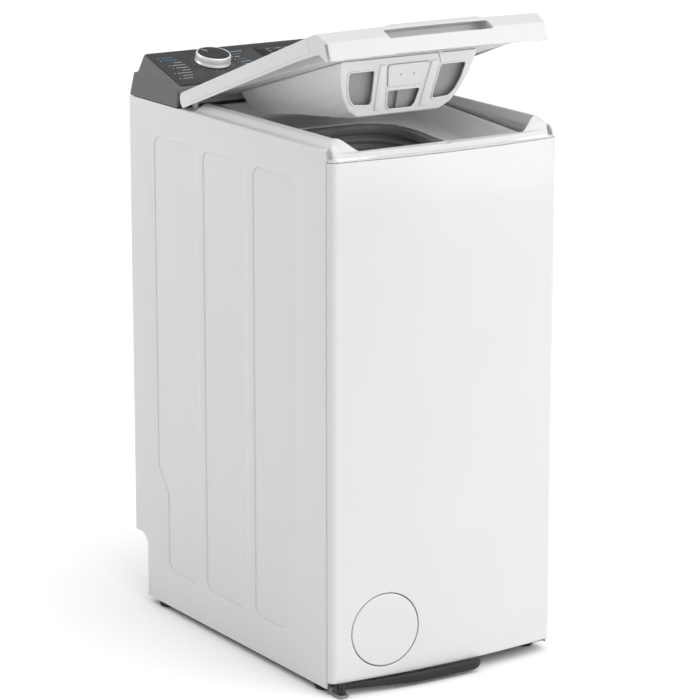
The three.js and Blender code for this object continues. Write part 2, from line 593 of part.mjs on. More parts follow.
// ---- Bellows between the deck and the tub's neck ----
// Each fold is a rounded-square ring; the upper ones lie parallel to the sloped deck.
function bellows() {
  const folds = [
    { halfX: 136, halfY: 135, y: -66, z: 770.6, tilt: 0.07 },
    { halfX: 123, halfY: 122, y: -66, z: 770.2, tilt: 0.07 },
    { halfX: 122, halfY: 121, y: -64, z: 762, tilt: 0.06 },
    { halfX: 127, halfY: 125, y: -61, z: 757, tilt: 0.05 },
    { halfX: 117, halfY: 117, y: -58, z: 752, tilt: 0.04 },
    { halfX: 120, halfY: 119, y: -55, z: 746.5, tilt: 0.03 },
    { halfX: 109, halfY: 113, y: -50, z: 741, tilt: 0.02 },
    { halfX: 112, halfY: 115, y: -47, z: 735, tilt: 0.01 },
    { halfX: 100, halfY: 109, y: NECK.y, z: 730, tilt: 0 },
    { halfX: 100, halfY: 109, y: NECK.y, z: NECK.topZ + 1.6, tilt: 0 },
  ];
  const thickness = 2.4;
  const offsetFold = (index, side) => {
    const before = folds[Math.max(index - 1, 0)];
    const after = folds[Math.min(index + 1, folds.length - 1)];
    const run = Math.hypot(after.halfX - before.halfX, after.z - before.z);
    const outX = (-(after.z - before.z) / run) * side * (thickness / 2);
    const outZ = ((after.halfX - before.halfX) / run) * side * (thickness / 2);
    const fold = folds[index];
    return { ...fold, halfX: fold.halfX + outX, halfY: fold.halfY + outX, z: fold.z + outZ };
  };
  const loop = [];
  for (let i = 0; i < folds.length; i += 1) {
    loop.push(offsetFold(i, -1));
  }
  for (let i = folds.length - 1; i >= 0; i -= 1) {
    loop.push(offsetFold(i, 1));
  }
  return ringLoft(loop, 28);
}

// A closed ring through a closed loop of rounded-square sections.
function ringLoft(loop, segments) {
  const positions = [];
  for (const section of loop) {
    for (const [x, y] of superellipse(section, segments)) {
      positions.push(x, y, section.z + section.tilt * (y - section.y));
    }
  }
  const index = [];
  for (let i = 0; i < loop.length; i += 1) {
    const next = (i + 1) % loop.length;
    for (let j = 0; j < segments; j += 1) {
      const k = (j + 1) % segments;
      const a = i * segments + j;
      const b = i * segments + k;
      const c = next * segments + k;
      const d = next * segments + j;
      index.push(a, b, d, b, c, d);
    }
  }
  const geometry = new THREE.BufferGeometry();
  geometry.setAttribute('position', new THREE.Float32BufferAttribute(positions, 3));
  geometry.setIndex(index);
  return geometry;
}
add('bellows', bellows(), RUBBER());

// ---- Tub ----
const onAxis = (profile, segments) => turnX(profile, AXIS.y, AXIS.z, segments);
const endProfile = (side, points) => (side > 0 ? points : points.map(([r, x]) => [r, -x]).reverse());

function tubShell() {
  const inner = TUB.radius - TUB.wall;
  const wall = onAxis(pipeProfile(inner, TUB.radius, -TUB.halfX, TUB.halfX), 36);
  const mouth = sweepZ(superellipse({ ...NECK, halfX: NECK.halfX - 4, halfY: NECK.halfY - 4 }, 28), 600, 760);
  const neck = sweepZ(superellipse(NECK, 28), 640, NECK.topZ);
  const inside = onAxis(rodProfile(inner, -TUB.halfX - 1, TUB.halfX + 1), 36);
  return cut(join(wall, cut(neck, inside)), mouth);
}
add('tub_shell', tubShell(), TUB_PLASTIC());

function tubEnd(side) {
  const hole = BEARING_RADIUS + GAP;
  const disc = onAxis(endProfile(side, [
    [hole, TUB.halfX + GAP], [TUB.radius, TUB.halfX + GAP], [TUB.radius, TUB.endX], [42, TUB.endX],
    [42, TUB.hubX], [hole, TUB.hubX],
  ]), 28);
  const heaterSlot = box(-170, -140, -70, -10, 250, 264);
  return side < 0 ? cut(disc, heaterSlot) : disc;
}
const bearingProfile = pipeProfile(SHAFT_RADIUS + 0.5, BEARING_RADIUS, TUB.halfX + 1, TUB.hubX - 1);
for (const [label, side] of [['left', -1], ['right', 1]]) {
  add(`tub_end_${label}`, tubEnd(side), TUB_PLASTIC());
  add(`bearing_${label}`, onAxis(endProfile(side, bearingProfile), 20), ZINC());
}

function heater() {
  const z = AXIS.z - 223;
  const reach = 90;
  const points = [[-156, -62, z], [-60, -62, z], [reach - 20, -62, z], [reach, -56, z], [reach + 9, -40, z]];
  const back = points.slice(0, -1).map(([x, y, height]) => [x, -80 - y, height]).reverse();
  const rod = tube([...points, ...back], 3.5, 6, 28);
  const flange = box(-158, -TUB.endX - GAP, -74, -6, z - 12, z + 12);
  return join(rod, flange);
}
add('heater', heater(), STAINLESS());

function counterweight(y0, y1, z0) {
  const block = box(-130, 130, y0, y1, z0, 728);
  return cut(block, onAxis(rodProfile(TUB.radius + 2, -150, 150), 36));
}
add('counterweight_front', counterweight(-262, -163, 640), CONCRETE());
add('counterweight_rear', counterweight(74, 180, 590), CONCRETE());

// ---- Drum ----
function drumMouth(halfX, halfDeg) {
  const reach = 240;
  const wedge = [[AXIS.y, AXIS.z]];
  for (const deg of [-halfDeg, 0, halfDeg]) {
    const angle = THREE.MathUtils.degToRad(deg);
    wedge.push([AXIS.y + reach * Math.sin(angle), AXIS.z + reach * Math.cos(angle)]);
  }
  return sweepX(wedge.reverse(), -halfX, halfX);
}

function drumShell() {
  const wall = onAxis(pipeProfile(DRUM.radius - DRUM.wall, DRUM.radius, -DRUM.halfX, DRUM.halfX), 36);
  return cut(wall, drumMouth(MOUTH.halfX, MOUTH.halfDeg));
}
add('drum_shell', drumShell(), STAINLESS());

function drumEnd(side) {
  const tipX = side > 0 ? 184 : 164;
  return onAxis(endProfile(side, [
    [0, DRUM.halfX + GAP], [DRUM.radius, DRUM.halfX + GAP], [DRUM.radius, DRUM.endX], [70, DRUM.endX],
    [46, 132], [SHAFT_RADIUS, 134], [SHAFT_RADIUS, tipX], [0, tipX],
  ]), 28);
}
add('drum_end_left', drumEnd(-1), STAINLESS());
add('drum_end_right', drumEnd(1), STAINLESS());

// Two flaps close the drum's mouth; each hangs on a rolled hinge at the mouth's edge.
function drumFlap(sign) {
  const points = [];
  const steps = 6;
  const start = 0.4;
  const stop = MOUTH.halfDeg - 0.9;
  const ring = (radius, from, to) => {
    for (let i = 0; i <= steps; i += 1) {
      const angle = sign * THREE.MathUtils.degToRad(from + ((to - from) * i) / steps);
      points.push([AXIS.y + radius * Math.sin(angle), AXIS.z + radius * Math.cos(angle)]);
    }
  };
  ring(DRUM.radius, start, stop);
  ring(DRUM.radius - DRUM.wall, stop, start);
  const leaf = sweepX(sign > 0 ? points.reverse() : points, -MOUTH.halfX + 0.6, MOUTH.halfX - 0.6);
  const hinge = flapHinge(sign);
  const roll = turnX(rodProfile(2.2, -MOUTH.halfX + 6, MOUTH.halfX - 6), hinge.y, hinge.z, 12);
  return join(leaf, roll);
}

function flapHinge(sign) {
  const angle = sign * THREE.MathUtils.degToRad(MOUTH.halfDeg - 1.1);
  const radius = DRUM.radius + 0.6;
  return { y: AXIS.y + radius * Math.sin(angle), z: AXIS.z + radius * Math.cos(angle) };
}
add('drum_flap_front', drumFlap(-1), STAINLESS());
add('drum_flap_rear', drumFlap(1), STAINLESS());

// Lifting paddle on the drum wall opposite the mouth.
function paddle() {
  const floorZ = AXIS.z - (DRUM.radius - DRUM.wall) + 1.2;
  const profile = [[AXIS.y - 24, floorZ + 1], [AXIS.y + 24, floorZ + 1], [AXIS.y + 7, floorZ + 34], [AXIS.y - 7, floorZ + 34]];
  return sweepX(profile, -108, 108);
}
add('drum_paddle', paddle(), WHITE_PLASTIC());

// ---- Belt drive ----
function drumPulley() {
  return onAxis([
    [SHAFT_RADIUS + 0.5, PULLEY.x0], [30, PULLEY.x0], [30, 171], [112, 171], [112, 167], [PULLEY.radius, 167],
    [PULLEY.radius, 179], [112, 179], [112, 175], [30, 175], [30, PULLEY.x1], [SHAFT_RADIUS + 0.5, PULLEY.x1],
  ], 28);
}
add('drum_pulley', drumPulley(), ZINC());

// The belt's line: straight runs tangent to both pulleys, outside by the given distance.
function beltLine(outside) {
  const big = PULLEY.radius + outside;
  const small = MOTOR.pulleyRadius + outside;
  const dy = MOTOR.y - AXIS.y;
  const dz = MOTOR.z - AXIS.z;
  const spread = Math.hypot(dy, dz);
  const towards = Math.atan2(dz, dy);
  const half = Math.acos((big - small) / spread);
  const points = [];
  const arc = (centre, radius, from, to, steps) => {
    for (let i = 0; i <= steps; i += 1) {
      const angle = from + ((to - from) * i) / steps;
      points.push([centre.y + radius * Math.cos(angle), centre.z + radius * Math.sin(angle)]);
    }
  };
  arc(AXIS, big, towards + half, towards + 2 * Math.PI - half, 24);
  arc(MOTOR, small, towards - half, towards + half, 8);
  return points;
}

function driveBelt() {
  const shape = shapeOf(beltLine(GAP + BELT.thickness));
  shape.holes.push(new THREE.Path(beltLine(GAP + 0.2).map(([a, b]) => new THREE.Vector2(a, b))));
  return extrude(shape, BELT.x1 - BELT.x0).applyMatrix4(Y_Z_X).translate(BELT.x0, 0, 0);
}
add('drive_belt', driveBelt(), RUBBER());

function motor() {
  const body = turnX(rodProfile(MOTOR.radius, MOTOR.x0, MOTOR.x1), MOTOR.y, MOTOR.z, 20);
  const lug = (x) => box(x, x + 14, MOTOR.y - 40, MOTOR.y + 10, MOTOR.z + 40, 246);
  const tubRoom = onAxis(rodProfile(TUB.radius + GAP, -150, 150), 36);
  const shaftHole = turnX(rodProfile(7, MOTOR.x1 - 10, MOTOR.x1 + 1), MOTOR.y, MOTOR.z, 16);
  return cut(join(body, lug(30), lug(110)), tubRoom, shaftHole);
}
add('motor', motor(), ZINC());
const rotorProfile = [
  [0, MOTOR.x1 - 9], [6, MOTOR.x1 - 9], [6, PULLEY.x0], [MOTOR.pulleyRadius, PULLEY.x0],
  [MOTOR.pulleyRadius, PULLEY.x1], [0, PULLEY.x1],
];
add('motor_pulley', turnX(rotorProfile, MOTOR.y, MOTOR.z, 16), ZINC());

// ---- Suspension ----
function spring(x) {
  const steps = SPRING.turns * 6;
  const points = [[x, SPRING.y, SPRING.z0], [x, SPRING.y + 1, SPRING.z0 + 8]];
  const length = SPRING.z1 - SPRING.z0 - 30;
  for (let i = 0; i <= steps; i += 1) {
    const angle = (i / steps) * SPRING.turns * 2 * Math.PI;
    points.push([
      x + SPRING.radius * Math.sin(angle), SPRING.y + SPRING.radius * Math.cos(angle),
      SPRING.z0 + 15 + (length * i) / steps,
    ]);
  }
  points.push([x, SPRING.y + 1, SPRING.z1 - 8], [x, SPRING.y, SPRING.z1]);
  return tube(points, SPRING.wire, 4, steps + 4);
}

const damperProfile = [
  [0, DAMPER.z0], [8, DAMPER.z0], [11, DAMPER.z0 + 6], [11, 150], [5, 152], [5, 238], [9, 242],
  [9, DAMPER.z1], [0, DAMPER.z1],
];
for (const [label, side] of [['left', -1], ['right', 1]]) {
  add(`suspension_spring_${label}`, spring(side * SPRING.x), ZINC());
  add(`damper_${label}`, turnZ(damperProfile, side * DAMPER.x, DAMPER.y, 12), BLACK_PLASTIC());
}

// ---- Drain pump, filter and hoses ----
function drainPump() {
  const bore = FILTER.plugRadius + 0.5;
  const housing = turnY([
    [bore, -262], [38, -262], [38, -190], [28, -190], [28, -140], [0, -140], [0, -198], [bore, -198],
  ], FILTER.x, FILTER.z, 24);
  const stand = box(FILTER.x - 12, FILTER.x + 12, -204, -184, 15.4, 62);
  return join(housing, stand);
}
add('drain_pump', drainPump(), TUB_PLASTIC());

function drainFilter() {
  const plug = turnY(rodProfile(FILTER.plugRadius, -264, -199), FILTER.x, FILTER.z, 24);
  const grip = box(FILTER.x - 22, FILTER.x + 22, -275, -263, FILTER.z - 4, FILTER.z + 4);
  return join(plug, grip);
}
add('drain_filter', drainFilter(), BLACK_PLASTIC());

// The round cover follows the front panel's bow and closes its opening.
function filterCover() {
  const radius = FILTER.coverRadius - 0.5;
  const disc = turnY(rodProfile(radius, -310, -265), FILTER.x, FILTER.z, 32);
  const skin = common(sweepZ(frontStrip(0.1, 2.4), 20, 170), disc);
  const collar = turnY(pipeProfile(radius - 3.4, radius - 1, -296, -280), FILTER.x, FILTER.z, 32);
  const behind = sweepZ([...frontLine(2), [200, -200], [-200, -200]], 20, 170);
  return join(skin, common(collar, behind));
}
add('filter_cover', filterCover(), WHITE_PAINT());

add('sump_hose', tube([
  [-60, -90, 243], [-60, -92, 225], [-66, -130, 185], [-90, -185, 168], [FILTER.x, -214, 155],
  [FILTER.x, -216, 132],
], 14, 10, 14), RUBBER());

// The drain hose runs up the left side and ends in the spigot on the rear panel.
function drainHose() {
  const hose = tube([
    [-152, -215, 96], [-164, -212, 98], [-180, -170, 110], [-180, 0, 130], [-180, 180, 160],
    [-180, 240, 230], [-180, 262, 400], [-178, 266, 580], [-165, 270, 645], [OUTLET.x, 280, OUTLET.z],
    [OUTLET.x, 294, OUTLET.z],
  ], 9, 8, 40);
  const spigot = turnY([
    [0, 290], [9.8, 290], [9.8, 297.2], [14, 297.2], [14, 300], [10, 300], [10, 309], [0, 309],
  ], OUTLET.x, OUTLET.z, 16);
  return join(hose, spigot);
}
add('drain_hose', drainHose(), RUBBER());

function inletValve() {
  const body = box(INLET.x - 18, INLET.x + 18, 258, REAR_PANEL_Y - GAP, INLET.z - 20, INLET.z + 20);
  const thread = turnY(rodProfile(13, 290, 310), INLET.x, INLET.z, 24);
  const bore = turnY(rodProfile(9, 296, 312), INLET.x, INLET.z, 24);
  return cut(join(body, thread), bore);
}
add('inlet_valve', inletValve(), WHITE_PLASTIC());

const glandProfile = [
  [0, 286], [8.8, 286], [8.8, 297.2], [13, 297.2], [13, 300], [8, 306], [0, 306],
];
add('cable_gland', turnY(glandProfile, GLAND.x, GLAND.z, 16), BLACK_PLASTIC());

// ---- Castor carriage and its lever ----
function castorLever() {
  const endRadius = 6;
  const steps = 10;
  const front = [];
  const back = [];
  for (let i = 0; i <= steps; i += 1) {
    const x = LEVER.pivotX - 6 + ((LEVER.endX - LEVER.pivotX + 6) * i) / steps;
    front.push([x, frontY(x) - LEVER.depth]);
    back.push([x, frontY(x) - 0.4]);
  }
  const bar = sweepZ([...front, ...back.reverse()], LEVER.z0, LEVER.z1);
  const tip = turnZ(rodProfile(endRadius, LEVER.z0, LEVER.z1), LEVER.endX, frontY(LEVER.endX) - 6.2, 16);
  const pinHole = turnZ(rodProfile(3.4, 0, 30), LEVER.pivotX, LEVER.pivotY, 16);
  return cut(join(bar, tip), pinHole);
}
add('castor_lever', castorLever(), BLACK_PLASTIC());

function castorCarriage() {
  let carriage = box(-145, 145, CASTOR.y - 20, CASTOR.y + 20, 28, 33);
  for (const side of [-1, 1]) {
    for (const face of [-1, 1]) {
      const x = side * CASTOR.x + face * (CASTOR.halfWidth + 1.5);
      carriage = join(carriage, box(x - 1, x + 1, CASTOR.y - 8, CASTOR.y + 8, 11, 29));
    }
    const axleRoom = turnX(rodProfile(3.4, side * CASTOR.x - 14, side * CASTOR.x + 14), CASTOR.y, CASTOR.z, 16);
    carriage = cut(carriage, axleRoom);
  }
  return carriage;
}
add('castor_carriage', castorCarriage(), ZINC());

for (const [name, side] of [['castor_wheel_left', -1], ['castor_wheel_right', 1]]) {
  const x = side * CASTOR.x;
  const profile = [
    [0, x - 11], [2.8, x - 11], [2.8, x - CASTOR.halfWidth], [CASTOR.radius, x - CASTOR.halfWidth],
    [CASTOR.radius, x + CASTOR.halfWidth], [2.8, x + CASTOR.halfWidth], [2.8, x + 11], [0, x + 11],
  ];
  add(name, turnX(profile, CASTOR.y, CASTOR.z, 14), BLACK_PLASTIC());
}

export default machine;
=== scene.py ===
"""Looks of a slim top-load washing machine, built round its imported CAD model. Lengths are millimetres."""

import json
import math

import bmesh
import bpy
from mathutils import Matrix, Vector
from mathutils.geometry import tessellate_polygon


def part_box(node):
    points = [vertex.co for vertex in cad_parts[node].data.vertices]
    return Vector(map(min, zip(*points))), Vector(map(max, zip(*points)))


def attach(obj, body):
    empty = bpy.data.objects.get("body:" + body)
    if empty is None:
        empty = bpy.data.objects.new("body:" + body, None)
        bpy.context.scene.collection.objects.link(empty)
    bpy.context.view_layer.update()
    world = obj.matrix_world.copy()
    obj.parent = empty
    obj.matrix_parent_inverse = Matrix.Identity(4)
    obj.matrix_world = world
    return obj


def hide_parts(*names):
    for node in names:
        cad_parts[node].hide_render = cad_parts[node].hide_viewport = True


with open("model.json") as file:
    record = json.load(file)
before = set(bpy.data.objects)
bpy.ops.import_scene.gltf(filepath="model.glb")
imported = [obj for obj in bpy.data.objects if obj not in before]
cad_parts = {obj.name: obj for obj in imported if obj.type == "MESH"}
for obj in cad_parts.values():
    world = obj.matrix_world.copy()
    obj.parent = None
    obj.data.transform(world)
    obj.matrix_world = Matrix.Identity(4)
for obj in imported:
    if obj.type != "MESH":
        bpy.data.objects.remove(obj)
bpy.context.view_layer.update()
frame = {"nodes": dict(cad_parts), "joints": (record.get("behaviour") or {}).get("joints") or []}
MM = 0.001
JOINTS = {j["name"]: j for j in frame["joints"]}


def cad(node):
    """Lowest and highest corner of a CAD node, in millimetres."""
    lo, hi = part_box(node)
    return lo / MM, hi / MM


# ---- Driving dimensions, from the frame where it states them ----
HALF_WIDTH = cad("side_panel_right")[1].x
FRONT_Y = cad("front_panel")[0].y
BACK_Y = cad("side_panel_left")[1].y
BOW = 12.0
CORNER_R = 13.0
CORNER_X = HALF_WIDTH - CORNER_R
CORNER_Y = cad("front_panel")[1].y
FRONT_Z = (cad("front_panel")[0].z, cad("front_panel")[1].z)
SIDE_Z = (cad("side_panel_left")[0].z, cad("side_panel_left")[1].z)
NOTCH = {"y": 260.0, "z": 112.0, "radius": 25.0}
FILTER = {"x": (cad("filter_cover")[0].x + cad("filter_cover")[1].x) / 2,
          "z": (cad("filter_cover")[0].z + cad("filter_cover")[1].z) / 2, "radius": 55.5, "hole": 57.0}
DRUM = {"y": -40.0, "z": 480.0, "radius": 215.0}
MOUTH_HALF_DEG = 24.75
MOUTH_HALF_X = 75.0
SHEET = 0.9
DRUM_SHEET = 0.7

LID_OPEN = -math.radians(JOINTS["lid_hinge"]["range_deg"][0])
LID_HINGE = Vector(JOINTS["lid_hinge"]["pos_m"]) / MM
LID_HINGE_INSET = 6.0
KNOB_AXIS = Vector(JOINTS["knob_turn"]["axis"]).normalized()
KNOB_AT = {"x": -88.0, "s": 84.0, "radius": 28.0}
DISPLAY = {"x": (6.0, 130.0), "s": (89.0, 123.0)}

LID = (Matrix.Translation(LID_HINGE) @ Matrix.Rotation(-LID_OPEN, 4, "X")
       @ Matrix.Translation((0, LID_HINGE_INSET, 0)))
LID_BACK = LID.inverted()
CONSOLE_SLOPE = math.atan2(-KNOB_AXIS.y, KNOB_AXIS.z)
IDENTITY = Matrix.Identity(4)
ALONG_X = Matrix.Rotation(math.radians(90), 4, "Y")
CONSOLE = Matrix.Translation((0, 150, 847)) @ Matrix.Rotation(CONSOLE_SLOPE, 4, "X")


# ---- Materials ----
def fill(node, **values):
    """Sets a node's inputs; an underscore in a name stands for a space."""
    for name, value in values.items():
        node.inputs[name.replace("_", " ")].default_value = value
    return node


def ramp(nodes, *stops):
    """A colour ramp between two (position, colour) stops."""
    made = nodes.new("ShaderNodeValToRGB")
    for element, (position, color) in zip(made.color_ramp.elements, stops):
        element.position = position
        element.color = color
    return made


def shade(color, share):
    return (*[min(1.0, c * share) for c in color], 1)


def surface(name, color, roughness, metallic=0.0, patch=14.0, tint=0.03, grain=1200.0, bump=0.00002,
            spread=0.06, stretch=(1, 1, 1), coat=0.0, specular=0.5):
    """A finish whose tone drifts in broad patches, with a fine grain in its gloss and in its surface."""
    material = bpy.data.materials.new(name)
    material.use_nodes = True
    nodes, links = material.node_tree.nodes, material.node_tree.links
    shader = fill(nodes["Principled BSDF"], Metallic=metallic, IOR=1.5, Specular_IOR_Level=specular,
                  Coat_Weight=coat, Coat_Roughness=0.15)
    place = nodes.new("ShaderNodeTexCoord")
    mapping = fill(nodes.new("ShaderNodeMapping"), Scale=stretch)
    links.new(place.outputs["Object"], mapping.inputs["Vector"])

    broad = fill(nodes.new("ShaderNodeTexNoise"), Scale=patch, Detail=4)
    links.new(place.outputs["Object"], broad.inputs["Vector"])
    tone = ramp(nodes, (0.3, shade(color, 1 - tint)), (0.7, shade(color, 1 + tint)))
    links.new(broad.outputs["Fac"], tone.inputs["Fac"])
    links.new(tone.outputs["Color"], shader.inputs["Base Color"])

    fine = fill(nodes.new("ShaderNodeTexNoise"), Scale=grain, Detail=3)
    links.new(mapping.outputs["Vector"], fine.inputs["Vector"])
    gloss = fill(nodes.new("ShaderNodeMapRange"), To_Min=max(0.02, roughness - spread),
                 To_Max=min(1.0, roughness + spread))
    links.new(fine.outputs["Fac"], gloss.inputs["Value"])
    links.new(gloss.outputs["Result"], shader.inputs["Roughness"])
    relief = fill(nodes.new("ShaderNodeBump"), Distance=bump)
    links.new(fine.outputs["Fac"], relief.inputs["Height"])
    links.new(relief.outputs["Normal"], shader.inputs["Normal"])
    return material


def speckled(name, color, dots, roughness, scale, bump):
    """A cast surface with aggregate showing through."""
    material = surface(name, color, roughness, patch=30, tint=0.12, grain=700, bump=bump)
    nodes, links = material.node_tree.nodes, material.node_tree.links
    shader = nodes["Principled BSDF"]
    base = shader.inputs["Base Color"].links[0].from_socket
    cells = fill(nodes.new("ShaderNodeTexVoronoi"), Scale=scale)
    links.new(nodes["Texture Coordinate"].outputs["Object"], cells.inputs["Vector"])
    near = fill(nodes.new("ShaderNodeMapRange"), From_Min=0.15, From_Max=0.35, To_Min=1.0, To_Max=0.0)
    links.new(cells.outputs["Distance"], near.inputs["Value"])
    mix = nodes.new("ShaderNodeMix")
    mix.data_type = "RGBA"
    mix.inputs["B"].default_value = (*dots, 1)
    links.new(near.outputs["Result"], mix.inputs["Factor"])
    links.new(base, mix.inputs["A"])
    links.new(mix.outputs["Result"], shader.inputs["Base Color"])
    return material


ENAMEL = surface("white enamel", (0.575, 0.577, 0.58), 0.32, patch=6, tint=0.010, grain=420, bump=0.000012,
                 spread=0.05, coat=0.2)
WHITE = surface("white plastic", (0.585, 0.586, 0.59), 0.38, patch=9, tint=0.010, grain=1500,
                bump=0.00001)
# The white plastic again, made lighter for the dispenser, which stands in shade under the lid's front:
# painted light.
WHITE_PAINTED_LIGHT = surface("white plastic with painted light", (0.79, 0.79, 0.795), 0.42, patch=9, tint=0.012, grain=1500,
                 bump=0.00001)
# The frame's white plastic made lighter for the faces inside the well, which lies in shade: painted light.
WELL_PAINTED_LIGHT = surface("frame plastic with painted light", (0.93, 0.93, 0.935), 0.40, patch=9, tint=0.012, grain=1500,
               bump=0.00001)
# A grey for the seat round the softener plate: painted shade in the gap round it.
SEAT_SHADE_GREY = surface("painted seat shade", (0.30, 0.305, 0.31), 0.45, patch=20, tint=0.05, grain=1800,
                      bump=0.00001)
JOINT_GREY = surface("shaded joint", (0.40, 0.40, 0.405), 0.5, patch=20, tint=0.05, grain=1800, bump=0.00001)
# Grey for sheets set inside the dispenser's pockets, where there is only shade: painted shade.
POCKET_SHADE = surface("painted pocket shade", (0.36, 0.36, 0.365), 0.5, patch=20, tint=0.05, grain=1800,
                      bump=0.00001)
GREY = surface("dark grey plastic", (0.100, 0.101, 0.104), 0.45, patch=12, tint=0.05, grain=2200,
               bump=0.00002, specular=0.35)
FASCIA_GREY = surface("fascia grey", (0.030, 0.031, 0.033), 0.50, patch=10, tint=0.06, grain=2600,
                      bump=0.000016, specular=0.25)
BLACK = surface("black plastic", (0.014, 0.014, 0.015), 0.42, patch=14, tint=0.10, grain=1600, bump=0.00003,
                specular=0.3)
GLOSS = surface("gloss black", (0.005, 0.005, 0.006), 0.16, patch=25, tint=0.10, grain=900, bump=0.000002,
                spread=0.03, specular=0.14)
CHROME = surface("satin chrome", (0.80, 0.81, 0.82), 0.34, metallic=0.45, patch=40, tint=0.05, grain=260,
                 bump=0.00001, spread=0.07, stretch=(14, 14, 0.8))
STEEL = surface("stainless steel", (0.58, 0.59, 0.60), 0.32, metallic=1, patch=16, tint=0.05, grain=300,
                bump=0.000012, spread=0.08, stretch=(0.6, 9, 9))
ZINC = surface("zinc plate", (0.50, 0.51, 0.52), 0.44, metallic=1, patch=60, tint=0.12, grain=500,
               bump=0.00002, spread=0.10)
DULL_ZINC = surface("dull zinc plate", (0.22, 0.222, 0.226), 0.55, metallic=0.6, patch=60, tint=0.12,
                    grain=500, bump=0.00002, spread=0.10)
SEAL = surface("grey seal rubber", (0.20, 0.202, 0.205), 0.62, patch=30, tint=0.05, grain=1400, bump=0.00003)
RUBBER = surface("grey rubber", (0.33, 0.332, 0.336), 0.50, patch=24, tint=0.10, grain=900, bump=0.00004)
HOSE = surface("hose rubber", (0.045, 0.046, 0.048), 0.60, patch=40, tint=0.15, grain=1200, bump=0.00005)
TUB = surface("filled polypropylene", (0.50, 0.51, 0.50), 0.55, patch=18, tint=0.06, grain=900, bump=0.00004)
CONCRETE = speckled("cast ballast", (0.26, 0.255, 0.24), (0.36, 0.34, 0.31), 0.9, 160, 0.0004)
BOARD = speckled("circuit board", (0.02, 0.12, 0.055), (0.45, 0.38, 0.16), 0.45, 420, 0.00002)
INK_WHITE = surface("white print", (0.45, 0.455, 0.46), 0.5, patch=200, tint=0.08, grain=3000, bump=0.000004)
INK_BLUE = surface("blue print", (0.03, 0.20, 0.34), 0.5, patch=200, tint=0.08, grain=3000, bump=0.000004)
FLOOR = surface("studio floor", (0.93, 0.93, 0.93), 0.85, patch=0.6, tint=0.004, grain=60, bump=0.00001)


# ---- Mesh building ----
ON_AXIS = 1e-6
WELD_M = 1e-6


class Shell:
    """Collects points and faces of one piece."""

    def __init__(self):
        self.points = []
        self.faces = []

    def add(self, points):
        first = len(self.points)
        self.points.extend(Vector(p) for p in points)
        return list(range(first, len(self.points)))

    def bridge(self, a, b, closed=True):
        count = len(a)
        for i in range(count if closed else count - 1):
            k = (i + 1) % count
            self.faces.append((a[i], a[k], b[k], b[i]))

    def chain(self, loops, closed=True):
        """Bridges index loops one after the other."""
        for a, b in zip(loops, loops[1:]):
            self.bridge(a, b, closed)

    def steps(self, outline, profile, at=lambda a, b, height: (a, b, height)):
        """Joined rings of an outline at (inset, height) steps; at turns (a, b, height) into a point."""
        loops = [self.add(at(p.x, p.y, height) for p in inset(outline, run)) for run, height in profile]
        self.chain(loops)
        return loops

    def loft(self, rings, caps=True):
        """Joins rings of points one after the other; caps close the two ends."""
        loops = [self.add(ring) for ring in rings]
        self.chain(loops)
        if caps:
            self.faces.append(tuple(reversed(loops[0])))
            self.faces.append(tuple(loops[-1]))
        return loops

    def flat(self, outer, holes=()):
        """Fills a flat region given by index loops, leaving its holes open."""
        loops = [outer, *holes]
        triangles = tessellate_polygon([[self.points[i] for i in loop] for loop in loops])
        merged = [i for loop in loops for i in loop]
        self.faces.extend(tuple(merged[i] for i in t) for t in triangles)

    def box(self, lo, hi):
        v = self.add((x, y, z) for z in (lo[2], hi[2]) for x, y in oblong(lo[0], lo[1], hi[0], hi[1]))
        for face in ((3, 2, 1, 0), (4, 5, 6, 7), (0, 1, 5, 4), (1, 2, 6, 5), (2, 3, 7, 6), (3, 0, 4, 7)):
            self.faces.append(tuple(v[i] for i in face))

    def turned(self, profile, place, segments):
        """A closed profile of (radius, height) points, turned about place's Z axis."""
        rings = []
        for radius, height in profile:
            if radius < ON_AXIS:
                rings.append(self.add([place @ Vector((0, 0, height))]))
                continue
            rings.append(self.add(place @ Vector((radius * math.cos(a), radius * math.sin(a), height))
                                  for a in angles(segments)))
        pairs = list(zip(rings, rings[1:]))
        if len(rings[0]) > 1 and len(rings[-1]) > 1:
            pairs.append((rings[-1], rings[0]))
        for a, b in pairs:
            if len(a) == 1 and len(b) == 1:
                continue
            if len(a) == 1 or len(b) == 1:
                tip, ring = (a[0], b) if len(a) == 1 else (b[0], a)
                self.faces.extend((tip, ring[i], ring[(i + 1) % segments]) for i in range(segments))
            else:
                self.bridge(a, b)

    def prism(self, outline, low, high, place=IDENTITY):
        """A flat outline of (a, b) points, from height low to high above place's XY plane."""
        self.loft([[place @ Vector((a, b, height)) for a, b in outline] for height in (low, high)])

    def tube(self, path, radius, sides, closed=False):
        """A round tube along a path of points."""
        path = [Vector(p) for p in path]
        rings = []
        side = None
        for i, p in enumerate(path):
            before = path[i - 1] if i or closed else path[0]
            after = path[(i + 1) % len(path)] if i + 1 < len(path) or closed else path[-1]
            along = (after - before).normalized()
            if side is None:
                side = along.orthogonal().normalized()
            side = (side - along * side.dot(along)).normalized()
            up = along.cross(side)
            rings.append([p + radius * (math.cos(a) * side + math.sin(a) * up) for a in angles(sides)])
        loops = self.loft(rings, caps=not closed)
        if closed:
            self.bridge(loops[-1], loops[0])


def angles(count):
    return [2 * math.pi * i / count for i in range(count)]


def circle(x, y, radius, count):
    return [Vector((x + radius * math.cos(a), y + radius * math.sin(a))) for a in angles(count)]


def oblong(x0, y0, x1, y1):
    """The corners of a rectangle, anticlockwise from (x0, y0)."""
    return [(x0, y0), (x1, y0), (x1, y1), (x0, y1)]


